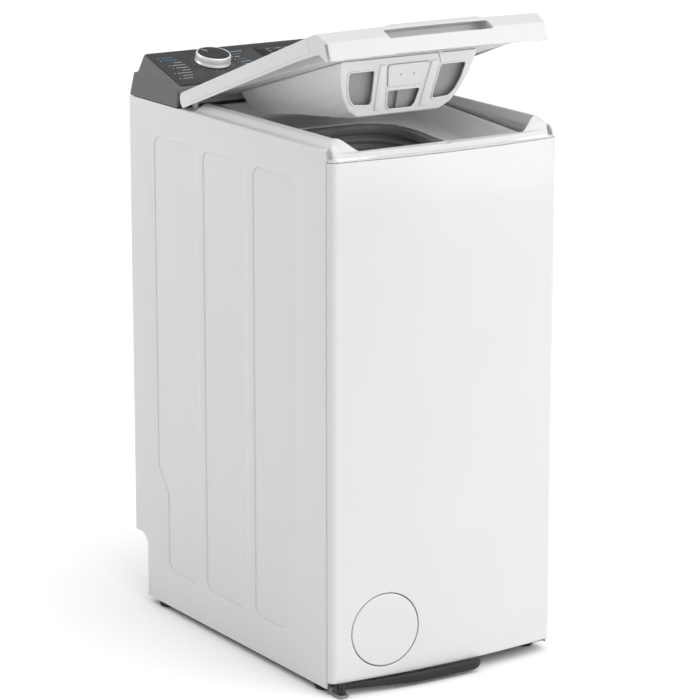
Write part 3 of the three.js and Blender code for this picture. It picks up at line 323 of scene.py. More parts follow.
def fillet(points, radii, steps=6):
    """A closed outline with its corners rounded."""
    rounded = []
    count = len(points)
    for i, point in enumerate(points):
        radius = radii[i] if isinstance(radii, (list, tuple)) else radii
        corner = Vector(point)
        to_last = Vector(points[i - 1]) - corner
        to_next = Vector(points[(i + 1) % count]) - corner
        half = to_last.angle(to_next) / 2
        if radius <= 0 or half > math.radians(88):
            rounded.append(corner)
            continue
        run = min(radius / math.tan(half), 0.49 * to_last.length, 0.49 * to_next.length)
        u, v = to_last.normalized(), to_next.normalized()
        centre = corner + (u + v).normalized() * (run * math.tan(half) / math.sin(half))
        start, stop = corner + u * run - centre, corner + v * run - centre
        turn = math.copysign(start.angle(stop), start.x * stop.y - start.y * stop.x)
        for k in range(steps + 1):
            a = turn * k / steps
            rounded.append(centre + Vector((start.x * math.cos(a) - start.y * math.sin(a),
                                            start.x * math.sin(a) + start.y * math.cos(a))))
    return rounded


def inset(loop, distance):
    """A closed outline moved inwards by a distance."""
    loop = [Vector(p) for p in loop]
    area = sum(a.x * b.y - b.x * a.y for a, b in zip(loop, loop[1:] + loop[:1]))
    sign = 1 if area > 0 else -1
    moved = []
    for i, p in enumerate(loop):
        before, after = (p - loop[i - 1]), (loop[(i + 1) % len(loop)] - p)
        n1 = Vector((-before.y, before.x)).normalized() * sign
        n2 = Vector((-after.y, after.x)).normalized() * sign
        moved.append(p + (n1 + n2) / max(0.3, 1 + n1.dot(n2)) * distance)
    return moved


def link(name, mesh, finish, body, nodes):
    item = bpy.data.objects.new(name, mesh)
    bpy.context.scene.collection.objects.link(item)
    mesh.materials.clear()
    mesh.materials.append(finish)
    if body:
        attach(item, body)
    if nodes:
        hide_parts(*nodes)
    return item


def make(name, shell, finish, body, nodes=(), place=IDENTITY, facing=None, sharp=32):
    """Turns a shell into a piece that rides on a CAD body, and that stands for the CAD nodes named."""
    mesh = bpy.data.meshes.new(name)
    mesh.from_pydata([place @ p * MM for p in shell.points], [], shell.faces)
    work = bmesh.new()
    work.from_mesh(mesh)
    bmesh.ops.remove_doubles(work, verts=work.verts, dist=WELD_M)
    bmesh.ops.recalc_face_normals(work, faces=work.faces)
    if facing:
        largest = max(work.faces, key=lambda f: f.calc_area())
        if largest.normal.dot(Vector(facing)) < 0:
            bmesh.ops.reverse_faces(work, faces=work.faces)
    work.to_mesh(mesh)
    work.free()
    mesh.shade_smooth()
    mesh.set_sharp_from_angle(angle=math.radians(sharp))
    return link(name, mesh, finish, body, nodes)


def weld(item):
    """Joins points that lie together."""
    item.modifiers.new("weld", "WELD").merge_threshold = WELD_M


def soften(item, width, segments=3, degrees=30):
    """Rounds a piece's edges by a width in millimetres."""
    bevel = item.modifiers.new("edges", "BEVEL")
    bevel.width = width * MM
    bevel.segments = segments
    bevel.limit_method = "ANGLE"
    bevel.angle_limit = math.radians(degrees)
    bevel.harden_normals = True


def thicken(item, thickness):
    solid = item.modifiers.new("sheet", "SOLIDIFY")
    solid.thickness = thickness * MM
    solid.offset = -1


def moulded(node, name, finish, body, voxel, rounds, keep, reshape=None):
    """A moulded piece: the CAD solid with every edge rounded, by remeshing it finely and relaxing it."""
    mesh = frame["nodes"][node].data.copy()
    item = bpy.data.objects.new(name, mesh)
    bpy.context.scene.collection.objects.link(item)
    weld(item)
    remesh = item.modifiers.new("remesh", "REMESH")
    remesh.mode = "VOXEL"
    remesh.voxel_size = voxel * MM
    relax = item.modifiers.new("relax", "SMOOTH")
    relax.factor = 0.5
    relax.iterations = rounds
    fine = bpy.data.meshes.new_from_object(item.evaluated_get(bpy.context.evaluated_depsgraph_get()))
    if reshape:
        for vertex in fine.vertices:
            vertex.co = reshape(vertex.co)
    item.modifiers.clear()
    item.data = fine
    thin = item.modifiers.new("thin", "DECIMATE")
    thin.ratio = keep
    mesh = bpy.data.meshes.new_from_object(item.evaluated_get(bpy.context.evaluated_depsgraph_get()))
    mesh.shade_smooth()
    bpy.data.objects.remove(item)
    return link(name, mesh, finish, body, [node])


# ---- Plan of the cabinet front: a shallow bow between two rounded corners ----
def front_y(x, depth=0.0):
    return FRONT_Y + BOW * (x / CORNER_X) ** 2 + depth


CORNER_STEPS = 8


def front_line(depth, columns):
    """Plan points of the front from left to right, set back by a depth."""
    radius = CORNER_R - depth
    quarter = [math.pi / 2 * i / CORNER_STEPS for i in range(CORNER_STEPS + 1)]
    left = [(-CORNER_X - radius * math.cos(a), CORNER_Y - radius * math.sin(a)) for a in quarter]
    middle = [(x, front_y(x, depth)) for x in columns]
    right = [(CORNER_X + radius * math.sin(a), CORNER_Y - radius * math.cos(a)) for a in quarter]
    return left + middle + right


# ---- Side panels: sheet steel with three embossed fields ----
def side_outline():
    edge = CORNER_Y + 0.3
    notch_top = NOTCH["z"]
    points = [(edge, SIDE_Z[0]), (NOTCH["y"], SIDE_Z[0]), (NOTCH["y"], notch_top), (BACK_Y, notch_top),
              (BACK_Y, SIDE_Z[1]), (edge, SIDE_Z[1])]
    return fillet(points, [1, 1, NOTCH["radius"], 2, 3, 15], 8)


HEM = ((0.25, 1.5), (0, 1.2), (0, 0.7), (0.2, 0.25), (0.7, 0.0), (1.6, 0.0))
FIELD_Z = (70.0, 766.0)
LEVER_DEPTH = 12.0
EMBOSS = ((0, 0), (0.3, 0.1), (0.7, 0.9), (1.1, 2.1), (1.6, 2.7), (2.2, 2.9), (3.8, 2.9))


def side_fields():
    low, high = FIELD_Z
    rear = [(98.6, low), (193, low), (193, 198), (223, 236), (223, high), (98.6, high)]
    middle = oblong(-43, low, 75, high)
    front = [(-164, low), (-70, low), (-70, high), (-190, high), (-190, 226), (-164, 200)]
    return [fillet(rear, [16, 18, 22, 22, 18, 18], 8), fillet(middle, [16, 18, 18, 18], 8),
            fillet(front, [18, 16, 18, 18, 12, 12], 8)]


def side_panel(sign, label):
    shell = Shell()

    def at(y, z, depth):
        return (sign * (HALF_WIDTH - depth), y, z)

    hem = shell.steps(side_outline(), HEM, at)
    holes = []
    for field in side_fields():
        steps = shell.steps(field, EMBOSS, at)
        shell.flat(steps[-1])
        holes.append(steps[0])
    shell.flat(hem[-1], holes)
    shell.flat(hem[0])
    rear_flange = (184, HALF_WIDTH - 0.6, BACK_Y - 1, BACK_Y, 125, 810)
    front_flange = (186, HALF_WIDTH - 1.5, CORNER_Y + 0.4, CORNER_Y + 1.4, 30, 780)
    bracket = (168, HALF_WIDTH - 1.5, -50, -30, 764, 767)
    for inner, outer, y0, y1, z0, z1 in (rear_flange, front_flange, bracket):
        x0, x1 = sorted((sign * inner, sign * outer))
        shell.box((x0, y0, z0), (x1, y1, z1))
    node = f"side_panel_{label}"
    make(f"{node}_sheet", shell, ENAMEL, "cabinet", [node], sharp=50)


# ---- Front panel with its round opening for the filter ----
PATCH = 66.0
PATCH_STEPS = 16


def front_panel():
    """A bowed sheet, turned in at its edges; a square patch of its grid closes on the filter's round hole."""
    shell = Shell()
    left, right = FILTER["x"] - PATCH, FILTER["x"] + PATCH
    patch_xs = [left + 2 * PATCH * i / PATCH_STEPS for i in range(PATCH_STEPS + 1)]
    before = [-182.0]
    after = [right + (CORNER_X - right) * i / 26 for i in range(1, 26)]
    xs = [*before, *patch_xs, *after]
    low, high = FILTER["z"] - PATCH, FILTER["z"] + PATCH
    patch_zs = [low + 2 * PATCH * i / PATCH_STEPS for i in range(PATCH_STEPS + 1)]
    top, bottom = FRONT_Z[1], FRONT_Z[0]
    profile = [(9, bottom + 1.2), (9, bottom), (1.4, bottom), (0.45, bottom + 0.35), (0, bottom + 1.3)]
    profile += [(0, z) for z in patch_zs]
    profile += [(0, high + (top - 1.4 - high) * i / 8) for i in range(1, 9)]
    profile += [(0.45, top - 0.4), (1.4, top), (9, top), (9, top - 1.2)]

    def plan(depth):
        line = front_line(depth, xs)[1:-1]
        turned_in = [(-HALF_WIDTH + 10, CORNER_Y - 0.3), (-HALF_WIDTH + 1.5 + depth, CORNER_Y - 0.3),
                     (-HALF_WIDTH + 0.5 + depth, CORNER_Y - 0.6)]
        return turned_in + line + [(-x, y) for x, y in reversed(turned_in)]

    rows = [shell.add([(x, y, z) for x, y in plan(depth)]) for depth, z in profile]
    first_row = profile.index((0, patch_zs[0]))
    turned_in_points = 3
    first_column = turned_in_points + CORNER_STEPS + len(before)
    last_row, last_column = first_row + PATCH_STEPS, first_column + PATCH_STEPS
    for r in range(len(rows) - 1):
        for c in range(len(rows[0]) - 1):
            if first_row <= r < last_row and first_column <= c < last_column:
                continue
            shell.faces.append((rows[r][c], rows[r][c + 1], rows[r + 1][c + 1], rows[r + 1][c]))

    border = [rows[first_row][c] for c in range(first_column, last_column)]
    border += [rows[r][last_column] for r in range(first_row, last_row)]
    border += [rows[last_row][c] for c in range(last_column, first_column, -1)]
    border += [rows[r][first_column] for r in range(last_row, first_row, -1)]
    rings = [border]
    hole = FILTER["hole"]
    for share, radius, depth in ((0.45, hole + 1.2, 0), (0.8, hole + 1.2, 0), (1, hole + 1.2, 0),
                                 (1, hole + 0.5, 0.12), (1, hole + 0.1, 0.5), (1, hole, 1.1), (1, hole, 7)):
        ring = []
        for i in border:
            p = shell.points[i]
            away = Vector((p.x - FILTER["x"], p.z - FILTER["z"]))
            at = away.lerp(away.normalized() * radius, share)
            ring.append((FILTER["x"] + at.x, front_y(FILTER["x"] + at.x, depth), FILTER["z"] + at.y))
        rings.append(shell.add(ring))
    shell.chain(rings)
    item = make("front_panel_sheet", shell, ENAMEL, "cabinet", ["front_panel"],
                facing=(0, -1, 0), sharp=50)
    thicken(item, SHEET)


def filter_cover():
    """A bowed disc with a rolled edge and a collar behind it."""
    shell = Shell()
    radius = FILTER["radius"]

    def ring(r, depth):
        return shell.add((p.x, front_y(p.x, depth), p.y) for p in circle(FILTER["x"], FILTER["z"], r, 96))

    outside = [(4, 0.1), (18, 0.1), (34, 0.1), (48, 0.1), (53.2, 0.1), (54.6, 0.25), (55.3, 0.75),
               (radius, 1.4), (radius, 2.4), (radius - 1, 2.5), (radius - 1, 7), (radius - 3.4, 7),
               (radius - 3.4, 2.4), (30, 2.4), (4, 2.4)]
    loops = [ring(r, depth) for r, depth in outside]
    shell.chain(loops)
    shell.faces.append(tuple(loops[0]))
    shell.faces.append(tuple(reversed(loops[-1])))
    make("filter_cover_disc", shell, ENAMEL, "filter_door", ["filter_cover"], sharp=45)


# ---- Rear panel, seen from behind ----
FITTINGS = {"inlet_valve": (140.0, 762.0), "drain_hose": (-150.0, 660.0), "cable_gland": (60.0, 700.0)}
REAR_FIELD_SCALE = 1.5
VENT = {"count": 8, "pitch": 30.0, "width": 9.0, "inset": 40.0, "margin": 34.0}


def rear_panel():
    """A pressed sheet: a flat back with sunk fields, a shelf over the cut-away corner and a kick wall."""
    shell = Shell()
    lo, hi = cad("rear_panel")
    half = hi.x
    back = hi.y
    low, high = NOTCH["z"] + 4, hi.z

    def at(x, z, depth):
        return (x, back - depth, z)

    [outer] = shell.steps(fillet(oblong(-half, low, half, high), 2, 3), [(0, 0)], at)
    holes = []
    sunk = [(run, depth * REAR_FIELD_SCALE) for run, depth in EMBOSS]
    floor = sunk[-1][1]
    vented = (-150, 160, 150, 285)
    for field in ((-150, 320, -20, 620), (20, 320, 150, 620), vented):
        steps = shell.steps(fillet(oblong(*field), 20, 8), sunk, at)
        holes.append(steps[0])
        openings = []
        for i in range(VENT["count"] if field == vented else 0):
            x = field[0] + VENT["inset"] + VENT["pitch"] * i
            slot = oblong(x, field[1] + VENT["margin"], x + VENT["width"], field[3] - VENT["margin"])
            lips = shell.steps(fillet(slot, 4.4, 6), [(0, floor), (0.6, floor + 0.5), (0.6, floor + 4)], at)
            openings.append(lips[0])
        shell.flat(steps[-1], openings)
    for node, radius in (("inlet_valve", 13.5), ("drain_hose", 10.5), ("cable_gland", 9.5)):
        lips = shell.steps(circle(*FITTINGS[node], radius, 32), [(-0.8, 0), (-0.1, 0.25), (0, 3)], at)
        holes.append(lips[0])
    shell.flat(outer, holes)

    radius = NOTCH["radius"]
    centre = (NOTCH["y"] + radius, NOTCH["z"] - radius)
    bend = [(back, low), (back, NOTCH["z"] + 1.4), (back - 1, NOTCH["z"] + 0.4)]
    bend += [(centre[0] - (radius + 0.2) * math.sin(a), centre[1] + (radius + 0.2) * math.cos(a))
             for a in [math.pi / 2 * i / 10 for i in range(11)]]
    bend += [(NOTCH["y"] - 0.2, 40), (NOTCH["y"] - 0.2, 14)]
    columns = [-half + 2 * half * i / 12 for i in range(13)]
    shell.chain([shell.add((x, y, z) for x in columns) for y, z in bend], closed=False)
    item = make("rear_panel_sheet", shell, ENAMEL, "cabinet", ["rear_panel"],
                facing=(0, 1, 0), sharp=50)
    thicken(item, SHEET)


def facing_back(x, z, y):
    """A place whose Z axis points out of the back."""
    return Matrix.Translation((x, y, z)) @ Matrix.Rotation(math.radians(-90), 4, "X")


def screw(shell, place, radius=3.6):
    """A pan-head screw with a fine cross on its head."""
    head = [(0, -0.2), (radius, -0.2), (radius, 0.5), (radius * 0.85, 1.2), (radius * 0.5, 1.5), (0, 1.6)]
    shell.turned(head, place, 24)
    for spin in (0, math.pi / 2):
        slot = oblong(-radius * 0.55, -0.35, radius * 0.55, 0.35)
        shell.prism(slot, 1.2, 1.62, place @ Matrix.Rotation(spin, 4, "Z"))


def rear_screws():
    shell = Shell()
    for sign in (-1, 1):
        for z in (150, 320, 490, 660, 790):
            screw(shell, facing_back(sign * 191, z, BACK_Y - 0.2))
    for x in (-160, -55, 55, 160):
        screw(shell, facing_back(x, 806, cad("rear_panel")[1].y))
    make("rear_screws", shell, ZINC, "cabinet")


def inlet():
    x, z = FITTINGS["inlet_valve"]
    back = cad("inlet_valve")[1].y
    shell = Shell()
    profile = [(9, back - 14), (13, back - 14), (13, back - 12.2)]
    for i in range(6):
        base = back - 12 + 1.9 * i
        profile += [(11.6, base + 0.3), (13, base + 0.95), (13, base + 1.25), (11.6, base + 1.9)]
    profile += [(11.2, back - 0.3), (10.6, back), (9.3, back), (9, back - 0.4)]
    shell.turned([(r, y - back) for r, y in profile], facing_back(x, z, back), 48)
    shell.turned([(0, -13.5), (8.9, -13.5), (8.9, -11), (7, -9.5), (0, -9.5)], facing_back(x, z, back), 32)
    make("inlet_thread", shell, WHITE, "cabinet")
    block = Shell()
    lo, hi = cad("inlet_valve")
    block.box((x - 18, lo.y, z - 20), (x + 18, cad("rear_panel")[1].y - 1.3, z + 20))
    soften(make("inlet_block", block, WHITE, "cabinet", ["inlet_valve"]), 2)


def gland():
    x, z = FITTINGS["cable_gland"]
    y = cad("rear_panel")[1].y
    shell = Shell()
    shell.turned([(0, -10), (8.8, -10), (8.8, 0.4), (13, 0.4), (13, 2.4), (12.2, 3.3), (9.4, 3.6), (8.8, 5),
                  (8.2, 8.4), (7.2, 9.2), (4.2, 9.2), (3.8, 8), (3.8, 4), (0, 4)], facing_back(x, z, y), 48)
    for a in angles(12):
        shell.prism(oblong(9.2, -0.7, 12.4, 0.7), 2.2, 4.2, facing_back(x, z, y) @ Matrix.Rotation(a, 4, "Z"))
    make("cable_gland_nut", shell, BLACK, "cabinet", ["cable_gland"])


# ---- Feet, lever and castors ----
def foot(name, x, y):
    shell = Shell()
    place = Matrix.Translation((x, y, 0))
    pad = [(0, 0.0), (12.6, 0.0), (14.2, 0.5), (15, 1.8), (15, 5.2), (14, 6.2), (9, 8.6), (8, 9), (0, 9)]
    shell.turned(pad, place, 48)
    thread = [(0, 8.8), (4.2, 8.8)]
    for i in range(17):
        z = 9 + 2 * i
        thread += [(4.2, z + 0.2), (5.0, z + 0.9), (5.0, z + 1.2), (4.2, z + 1.9)]
    shell.turned([*thread, (4.2, 43.6), (0, 43.6)], place, 24)
    shell.prism(circle(0, 0, 10.2, 6), 7.4, 10.4, place)
    soften(make(f"{name}_pad", shell, BLACK, name, [name], sharp=40), 0.3, 2, 40)


def lever():
    """The bowed bar under the front panel, with a rounded free end."""
    lo, hi = cad("castor_lever")
    shell, rings = Shell(), []
    length = hi.x - lo.x
    sections, round_end, gap = 60, 16, 0.5
    for i in range(sections + 1):
        x = lo.x + length * (1 - math.cos(math.pi * i / sections)) / 2
        grow = min(1.0, 0.18 + 1.6 * (x - lo.x) / length)
        close = max(0.0, (x - hi.x + round_end) / round_end)
        end = math.sqrt(max(0.0, 1 - close ** 2)) * 0.9 + 0.1
        reach = gap + (LEVER_DEPTH - gap) * grow * (0.35 + 0.65 * end)
        drop = (hi.z - lo.z) * (0.42 + 0.58 * grow) * end
        near, far = front_y(x) - reach, front_y(x) - gap
        edge = min(1.4, (far - near) * 0.3, drop * 0.3)
        section = fillet(oblong(near, hi.z - drop, far, hi.z), edge, 4)
        rings.append([(x, p.x, p.y) for p in section])
    shell.loft(rings)
    pivot = JOINTS["castor_lever_swing"]["pos_m"]
    shell.turned([(0, lo.z), (4.6, lo.z), (5.2, lo.z + 0.6), (5.2, hi.z - 0.6), (4.6, hi.z), (0, hi.z)],
                 Matrix.Translation((pivot[0] / MM, pivot[1] / MM, 0)), 32)
    make("castor_lever_bar", shell, BLACK, "lever", ["castor_lever"], sharp=40)


def castor_wheel(node, body):
    lo, hi = cad(node)
    centre = (lo + hi) / 2
    half = 8.5
    shell = Shell()
    place = Matrix.Translation((centre.x, centre.y, 15)) @ ALONG_X
    tread = [(0, -11), (2.8, -11), (2.8, -half), (8.2, -half), (8.8, -half + 0.6), (10.2, -half),
             (11, -half + 0.9)]
    for i in range(5):
        base = -half + 2.2 + 2.7 * i
        tread += [(11, base), (10.4, base + 0.4), (10.4, base + 0.9), (11, base + 1.3)]
    tread += [(11, half - 0.9), (10.2, half), (8.8, half - 0.6), (8.2, half), (2.8, half), (2.8, 11), (0, 11)]
    shell.turned(tread, place, 48)
    make(f"{node}_tread", shell, BLACK, body, [node], sharp=40)


# ---- Top: frame, seals and bellows ----
SHELF = {"z": 820.9, "rise": 0.065}


def shelf_z(y):
    return SHELF["z"] + SHELF["rise"] * y


def seal_strip(sign, label):
    """A soft strip with a rounded front end and a lip of lighter rubber along its outer edge."""
    lo, hi = cad(f"seal_strip_{label}")
    outer = hi.x if sign > 0 else lo.x
    inner = lo.x if sign > 0 else hi.x
    width = abs(outer - inner)

    def strip(shell, x0, x1, height, y0, y1, round_end):
        outline = [(x0, y1), (x0, y0), (x1, y0), (x1, y1)]
        outline = fillet(outline, [0, round_end, round_end, 0], 8)
        rings = []
        for run, up in ((0, 0.1), (0, height - 0.7), (0.25, height - 0.2), (0.8, height)):
            rings.append([(p.x, p.y, shelf_z(p.y) + 0.2 + up) for p in inset(outline, run)])
        shell.loft(rings)

    body = Shell()
    strip(body, inner + sign * 0.2, outer - sign * 2.1, 2.7, lo.y, hi.y, width * 0.42)
    make(f"seal_strip_{label}_pad", body, SEAL, "cabinet", [f"seal_strip_{label}"], sharp=60)
    lip = Shell()
    strip(lip, outer - sign * 1.8, outer, 3.0, lo.y + 3, hi.y, 0.8)
    make(f"seal_strip_{label}_lip", lip, RUBBER, "cabinet", sharp=60)


def rounded_square(centre_y, half_x, half_y):
    """Points of a superellipse: a square whose sides bow into its corners."""
    power = 4
    points = []
    for a in angles(128):
        c, s = math.cos(a), math.sin(a)
        scale = (abs(c) ** power + abs(s) ** power) ** (-1 / power)
        points.append((half_x * scale * c, centre_y + half_y * scale * s))
    return points


FOLDS = ((136, 135, -66, 770.8, 0.07), (123, 122, -66, 770.4, 0.07), (122, 121, -64, 762, 0.06),
         (127, 125, -61, 757, 0.05), (117, 117, -58, 752, 0.04), (120, 119, -55, 746.5, 0.03),
         (109, 113, -50, 741, 0.02), (112, 115, -47, 735, 0.01), (100, 109, -45, 730, 0.0),
         (100, 109, -45, 722.6, 0.0))


def bellows():
    """Soft folds: each ring lies between its neighbours on a smooth curve."""
    per_fold = 7

    def section(t):
        i = min(int(t), len(FOLDS) - 2)
        u = t - i
        pick = [FOLDS[max(0, min(len(FOLDS) - 1, i + k))] for k in (-1, 0, 1, 2)]
        weights = (-0.5 * u + u ** 2 - 0.5 * u ** 3, 1 - 2.5 * u ** 2 + 1.5 * u ** 3,
                   0.5 * u + 2 * u ** 2 - 1.5 * u ** 3, -0.5 * u ** 2 + 0.5 * u ** 3)
        return [sum(w * p[k] for w, p in zip(weights, pick)) for k in range(5)]

    half_wall = 0.95
    count = (len(FOLDS) - 1) * per_fold
    sections = [section(i / per_fold) for i in range(count + 1)]
    loop = []
    for side in (-1, 1):
        order = range(count + 1) if side < 0 else range(count, -1, -1)
        for i in order:
            half_x, half_y, y, z, tilt = sections[i]
            before, after = sections[max(i - 1, 0)], sections[min(i + 1, count)]
            run_x, run_z = after[0] - before[0], after[3] - before[3]
            length = math.hypot(run_x, run_z)
            out_x, out_z = -run_z / length * side * half_wall, run_x / length * side * half_wall
            loop.append((half_x + out_x, half_y + out_x, y, z + out_z, tilt))
    shell = Shell()
    rings = []
    for half_x, half_y, centre, z, tilt in loop:
        outline = rounded_square(centre, half_x, half_y)
        rings.append(shell.add((x, y, z + tilt * (y - centre)) for x, y in outline))
    shell.chain(rings + rings[:1])
    make("bellows_folds", shell, RUBBER, "cabinet", ["bellows"], sharp=75)


# ---- Drum and its flaps ----
def drum_point(radius, degrees, x):
    a = math.radians(degrees)
    return (x, DRUM["y"] + radius * math.sin(a), DRUM["z"] + radius * math.cos(a))


def dimpled_sheet(shell, x0, x1, deg0, deg1, radius, pitch, hole):
    """Part of a cylinder with a grid of round holes, each pressed in at its rim."""
    arc = math.radians(deg1 - deg0) * radius
    columns = max(1, int((x1 - x0) / pitch))
    rows = max(1, int(arc / pitch))
    sides = 12
    for i in range(columns):
        for j in range(rows):
            xa, xb = x0 + (x1 - x0) * i / columns, x0 + (x1 - x0) * (i + 1) / columns
            da, db = deg0 + (deg1 - deg0) * j / rows, deg0 + (deg1 - deg0) * (j + 1) / rows
            xc, dc = (xa + xb) / 2, (da + db) / 2
            corners = [(xa, da), (xc, da), (xb, da), (xb, dc), (xb, db), (xc, db), (xa, db), (xa, dc)]
            border = []
            for k in range(sides):
                t = k * len(corners) / sides
                a, b = corners[int(t)], corners[(int(t) + 1) % len(corners)]
                u = t - int(t)
                border.append((a[0] + (b[0] - a[0]) * u, a[1] + (b[1] - a[1]) * u))
            outer = shell.add([drum_point(radius, d, x) for x, d in border])
            rings = []
            for r, depth in ((hole * 1.35, 0.0), (hole, 0.5)):
                ring = []
                for x, d in border:
                    away = Vector((x - xc, math.radians(d - dc) * radius)).normalized() * r
                    ring.append(drum_point(radius - depth, dc + math.degrees(away.y / radius), xc + away.x))
                rings.append(shell.add(ring))
            shell.chain([outer, *rings])


def plain_sheet(shell, x0, x1, deg0, deg1, radius, columns, rows):
    """Part of a cylinder with no holes."""
    lines = []
    for j in range(rows + 1):
        degrees = deg0 + (deg1 - deg0) * j / rows
        lines.append(shell.add(drum_point(radius, degrees, x0 + (x1 - x0) * i / columns)
                               for i in range(columns + 1)))
    shell.chain(lines, closed=False)


def drum():
    shell = Shell()
    radius, half, band = DRUM["radius"] - 0.4, 118.3, 14
    spans = 24
    start, stop = MOUTH_HALF_DEG, 360 - MOUTH_HALF_DEG
    for k in range(spans):
        a, b = start + (stop - start) * k / spans, start + (stop - start) * (k + 1) / spans
        if k % 2:
            dimpled_sheet(shell, -half + band, half - band, a, b, radius, 14, 1.6)
        else:
            plain_sheet(shell, -half + band, half - band, a, b, radius, 1, 4)
        plain_sheet(shell, -half, -half + band, a, b, radius, 1, 4)
        plain_sheet(shell, half - band, half, a, b, radius, 1, 4)
    for x0, x1 in ((-half, -MOUTH_HALF_X), (MOUTH_HALF_X, half)):
        plain_sheet(shell, x0, x1, -MOUTH_HALF_DEG, MOUTH_HALF_DEG, radius, 1, 12)
    thicken(make("drum_wall", shell, STEEL, "drum", ["drum_shell"], sharp=50), DRUM_SHEET)


def flap(sign, node, body):
    """A sprung door leaf: pressed rim, round holes and a rolled hinge."""
    shell = Shell()
    radius, half = DRUM["radius"] - 0.3, MOUTH_HALF_X - 0.8
    near, far = sorted((sign * 0.5, sign * (MOUTH_HALF_DEG - 1.1)))
    band, margin = 8, 2.2
    dimpled_sheet(shell, -half + band, half - band, near + margin, far - margin, radius, 11, 1.7)
    spans = ((-half, -half + band, near + margin, far - margin),
             (half - band, half, near + margin, far - margin),
             (-half, half, near, near + margin), (-half, half, far - margin, far))
    for x0, x1, a, b in spans:
        plain_sheet(shell, x0, x1, a, b, radius, 14, 6)
    thicken(make(f"{node}_leaf", shell, STEEL, body, [node], sharp=50), DRUM_SHEET)
    hinge = Vector(JOINTS[f"{body}_hinge"]["pos_m"]) / MM
    roll = Shell()
    rolls, gap = 5, 2
    pitch = (2 * half - 2 * band) / rolls
    length = pitch - gap
    profile = [(0, 0), (1.9, 0), (2.2, 0.3), (2.2, length - 0.3), (1.9, length), (0, length)]
    for i in range(rolls):
        place = Matrix.Translation((-half + band + i * pitch, hinge.y, hinge.z)) @ ALONG_X
        roll.turned(profile, place, 20)
    make(f"{node}_hinge_roll", roll, STEEL, body, sharp=50)


# ---- Console ----
PLATE_TOP = 1.3


def slab(shell, outline, low, high, edge):
    """A plate with rounded top edges."""
    profile = [(0, low), (0, high - edge)]
    for a in (math.radians(30), math.radians(60), math.radians(90)):
        profile.append((edge * (1 - math.cos(a)), high - edge * (1 - math.sin(a))))
    shell.loft([[(p.x, p.y, height) for p in inset(outline, run)] for run, height in profile])


def window(margin=0.0):
    """The display's place on the fascia, drawn in by a margin."""
    x, s = DISPLAY["x"], DISPLAY["s"]
    return oblong(x[0] + margin, s[0] + margin, x[1] - margin, s[1] - margin)


def fascia():
    shell = Shell()
    outline = fillet([(-186, 11), (186, 11), (177, 140), (-177, 140)], 2.0, 4)
    sides = shell.steps(outline, [(0, -0.2), (0, 0.8), (0.15, 1.15), (0.5, PLATE_TOP)])
    tops, bottoms = [], []
    for hole in (fillet(window(), 1.5, 4), circle(KNOB_AT["x"], KNOB_AT["s"], 6.6, 32)):
        rings = shell.steps(hole, [(-0.35, PLATE_TOP), (-0.1, 1.2), (0, 0.95), (0, -0.2)])
        tops.append(rings[0])
        bottoms.append(rings[-1])
    shell.flat(sides[-1], tops)
    shell.flat(sides[0], bottoms)
    make("fascia_plate", shell, FASCIA_GREY, "cabinet", ["control_fascia"], place=CONSOLE,
         sharp=40)


PRINT = (PLATE_TOP - 0.02, PLATE_TOP + 0.06)


def dash(shell, x, s, length, width=1.3):
    shell.prism(fillet(oblong(x, s, x + length, s + width), width * 0.35, 3), *PRINT)


def diamond(shell, x, s, size):
    shell.prism([(x - size, s), (x, s - size), (x + size, s), (x, s + size)], *PRINT)


def marks():
    """Plain dashes beside the dial: two columns of programme marks, with no lettering."""
    white, blue = Shell(), Shell()
    for i in range(9):
        s = 116 - i * 10.2
        length = 20 + 6 * math.sin(2.3 * i)
        left = -136 - 0.06 * (s - 84) ** 2 / 10
        group = blue if i in (0, 1) else white
        dash(group, left - length, s, length)
        diamond(blue if i in (2, 5, 7) else white, left - length - 5, s + 0.6, 1.3)
        right = -46 + 0.06 * (s - 84) ** 2 / 10
        if i < 6:
            diamond(white, right, s + 0.6, 1.3)
            dash(blue if i in (1, 3) else white, right + 4, s, 15 + 5 * math.cos(1.7 * i))
    for k, at in enumerate(circle(KNOB_AT["x"], KNOB_AT["s"], 32.5, 20)):
        diamond(white, at.x, at.y, 0.8 if k % 2 else 1.1)
    for i in range(6):
        dash(white, 12 + 20 * i, 78, 9, 1.1)
        diamond(white, 16.5 + 20 * i, 72, 1.0)
    for i in range(5):
        dash(white, 142, 118 - 8 * i, 13, 1.1)
    make("fascia_marks_white", white, INK_WHITE, "cabinet", place=CONSOLE)
    make("fascia_marks_blue", blue, INK_BLUE, "cabinet", place=CONSOLE)


def display():
    shell = Shell()
    slab(shell, fillet(window(0.35), 1.3, 4), -0.2, 1.0, 0.3)
    make("display_glass", shell, GLOSS, "cabinet", ["display_window"], place=CONSOLE, sharp=40)
    segments = Shell()
    for cell in range(3):
        left = 26 + 15 * cell + (5 if cell else 0)
        for up in (98, 106, 114):
            outline = [(left, up), (left + 8, up), (left + 7.2, up + 1.1), (left + 0.8, up + 1.1)]
            segments.prism(outline, 0.99, 1.06)
    for up in (101.5, 109.5):
        segments.prism(oblong(39.6, up, 41, up + 1.4), 0.99, 1.06)
    make("display_segments", segments, INK_WHITE, "cabinet", place=CONSOLE)


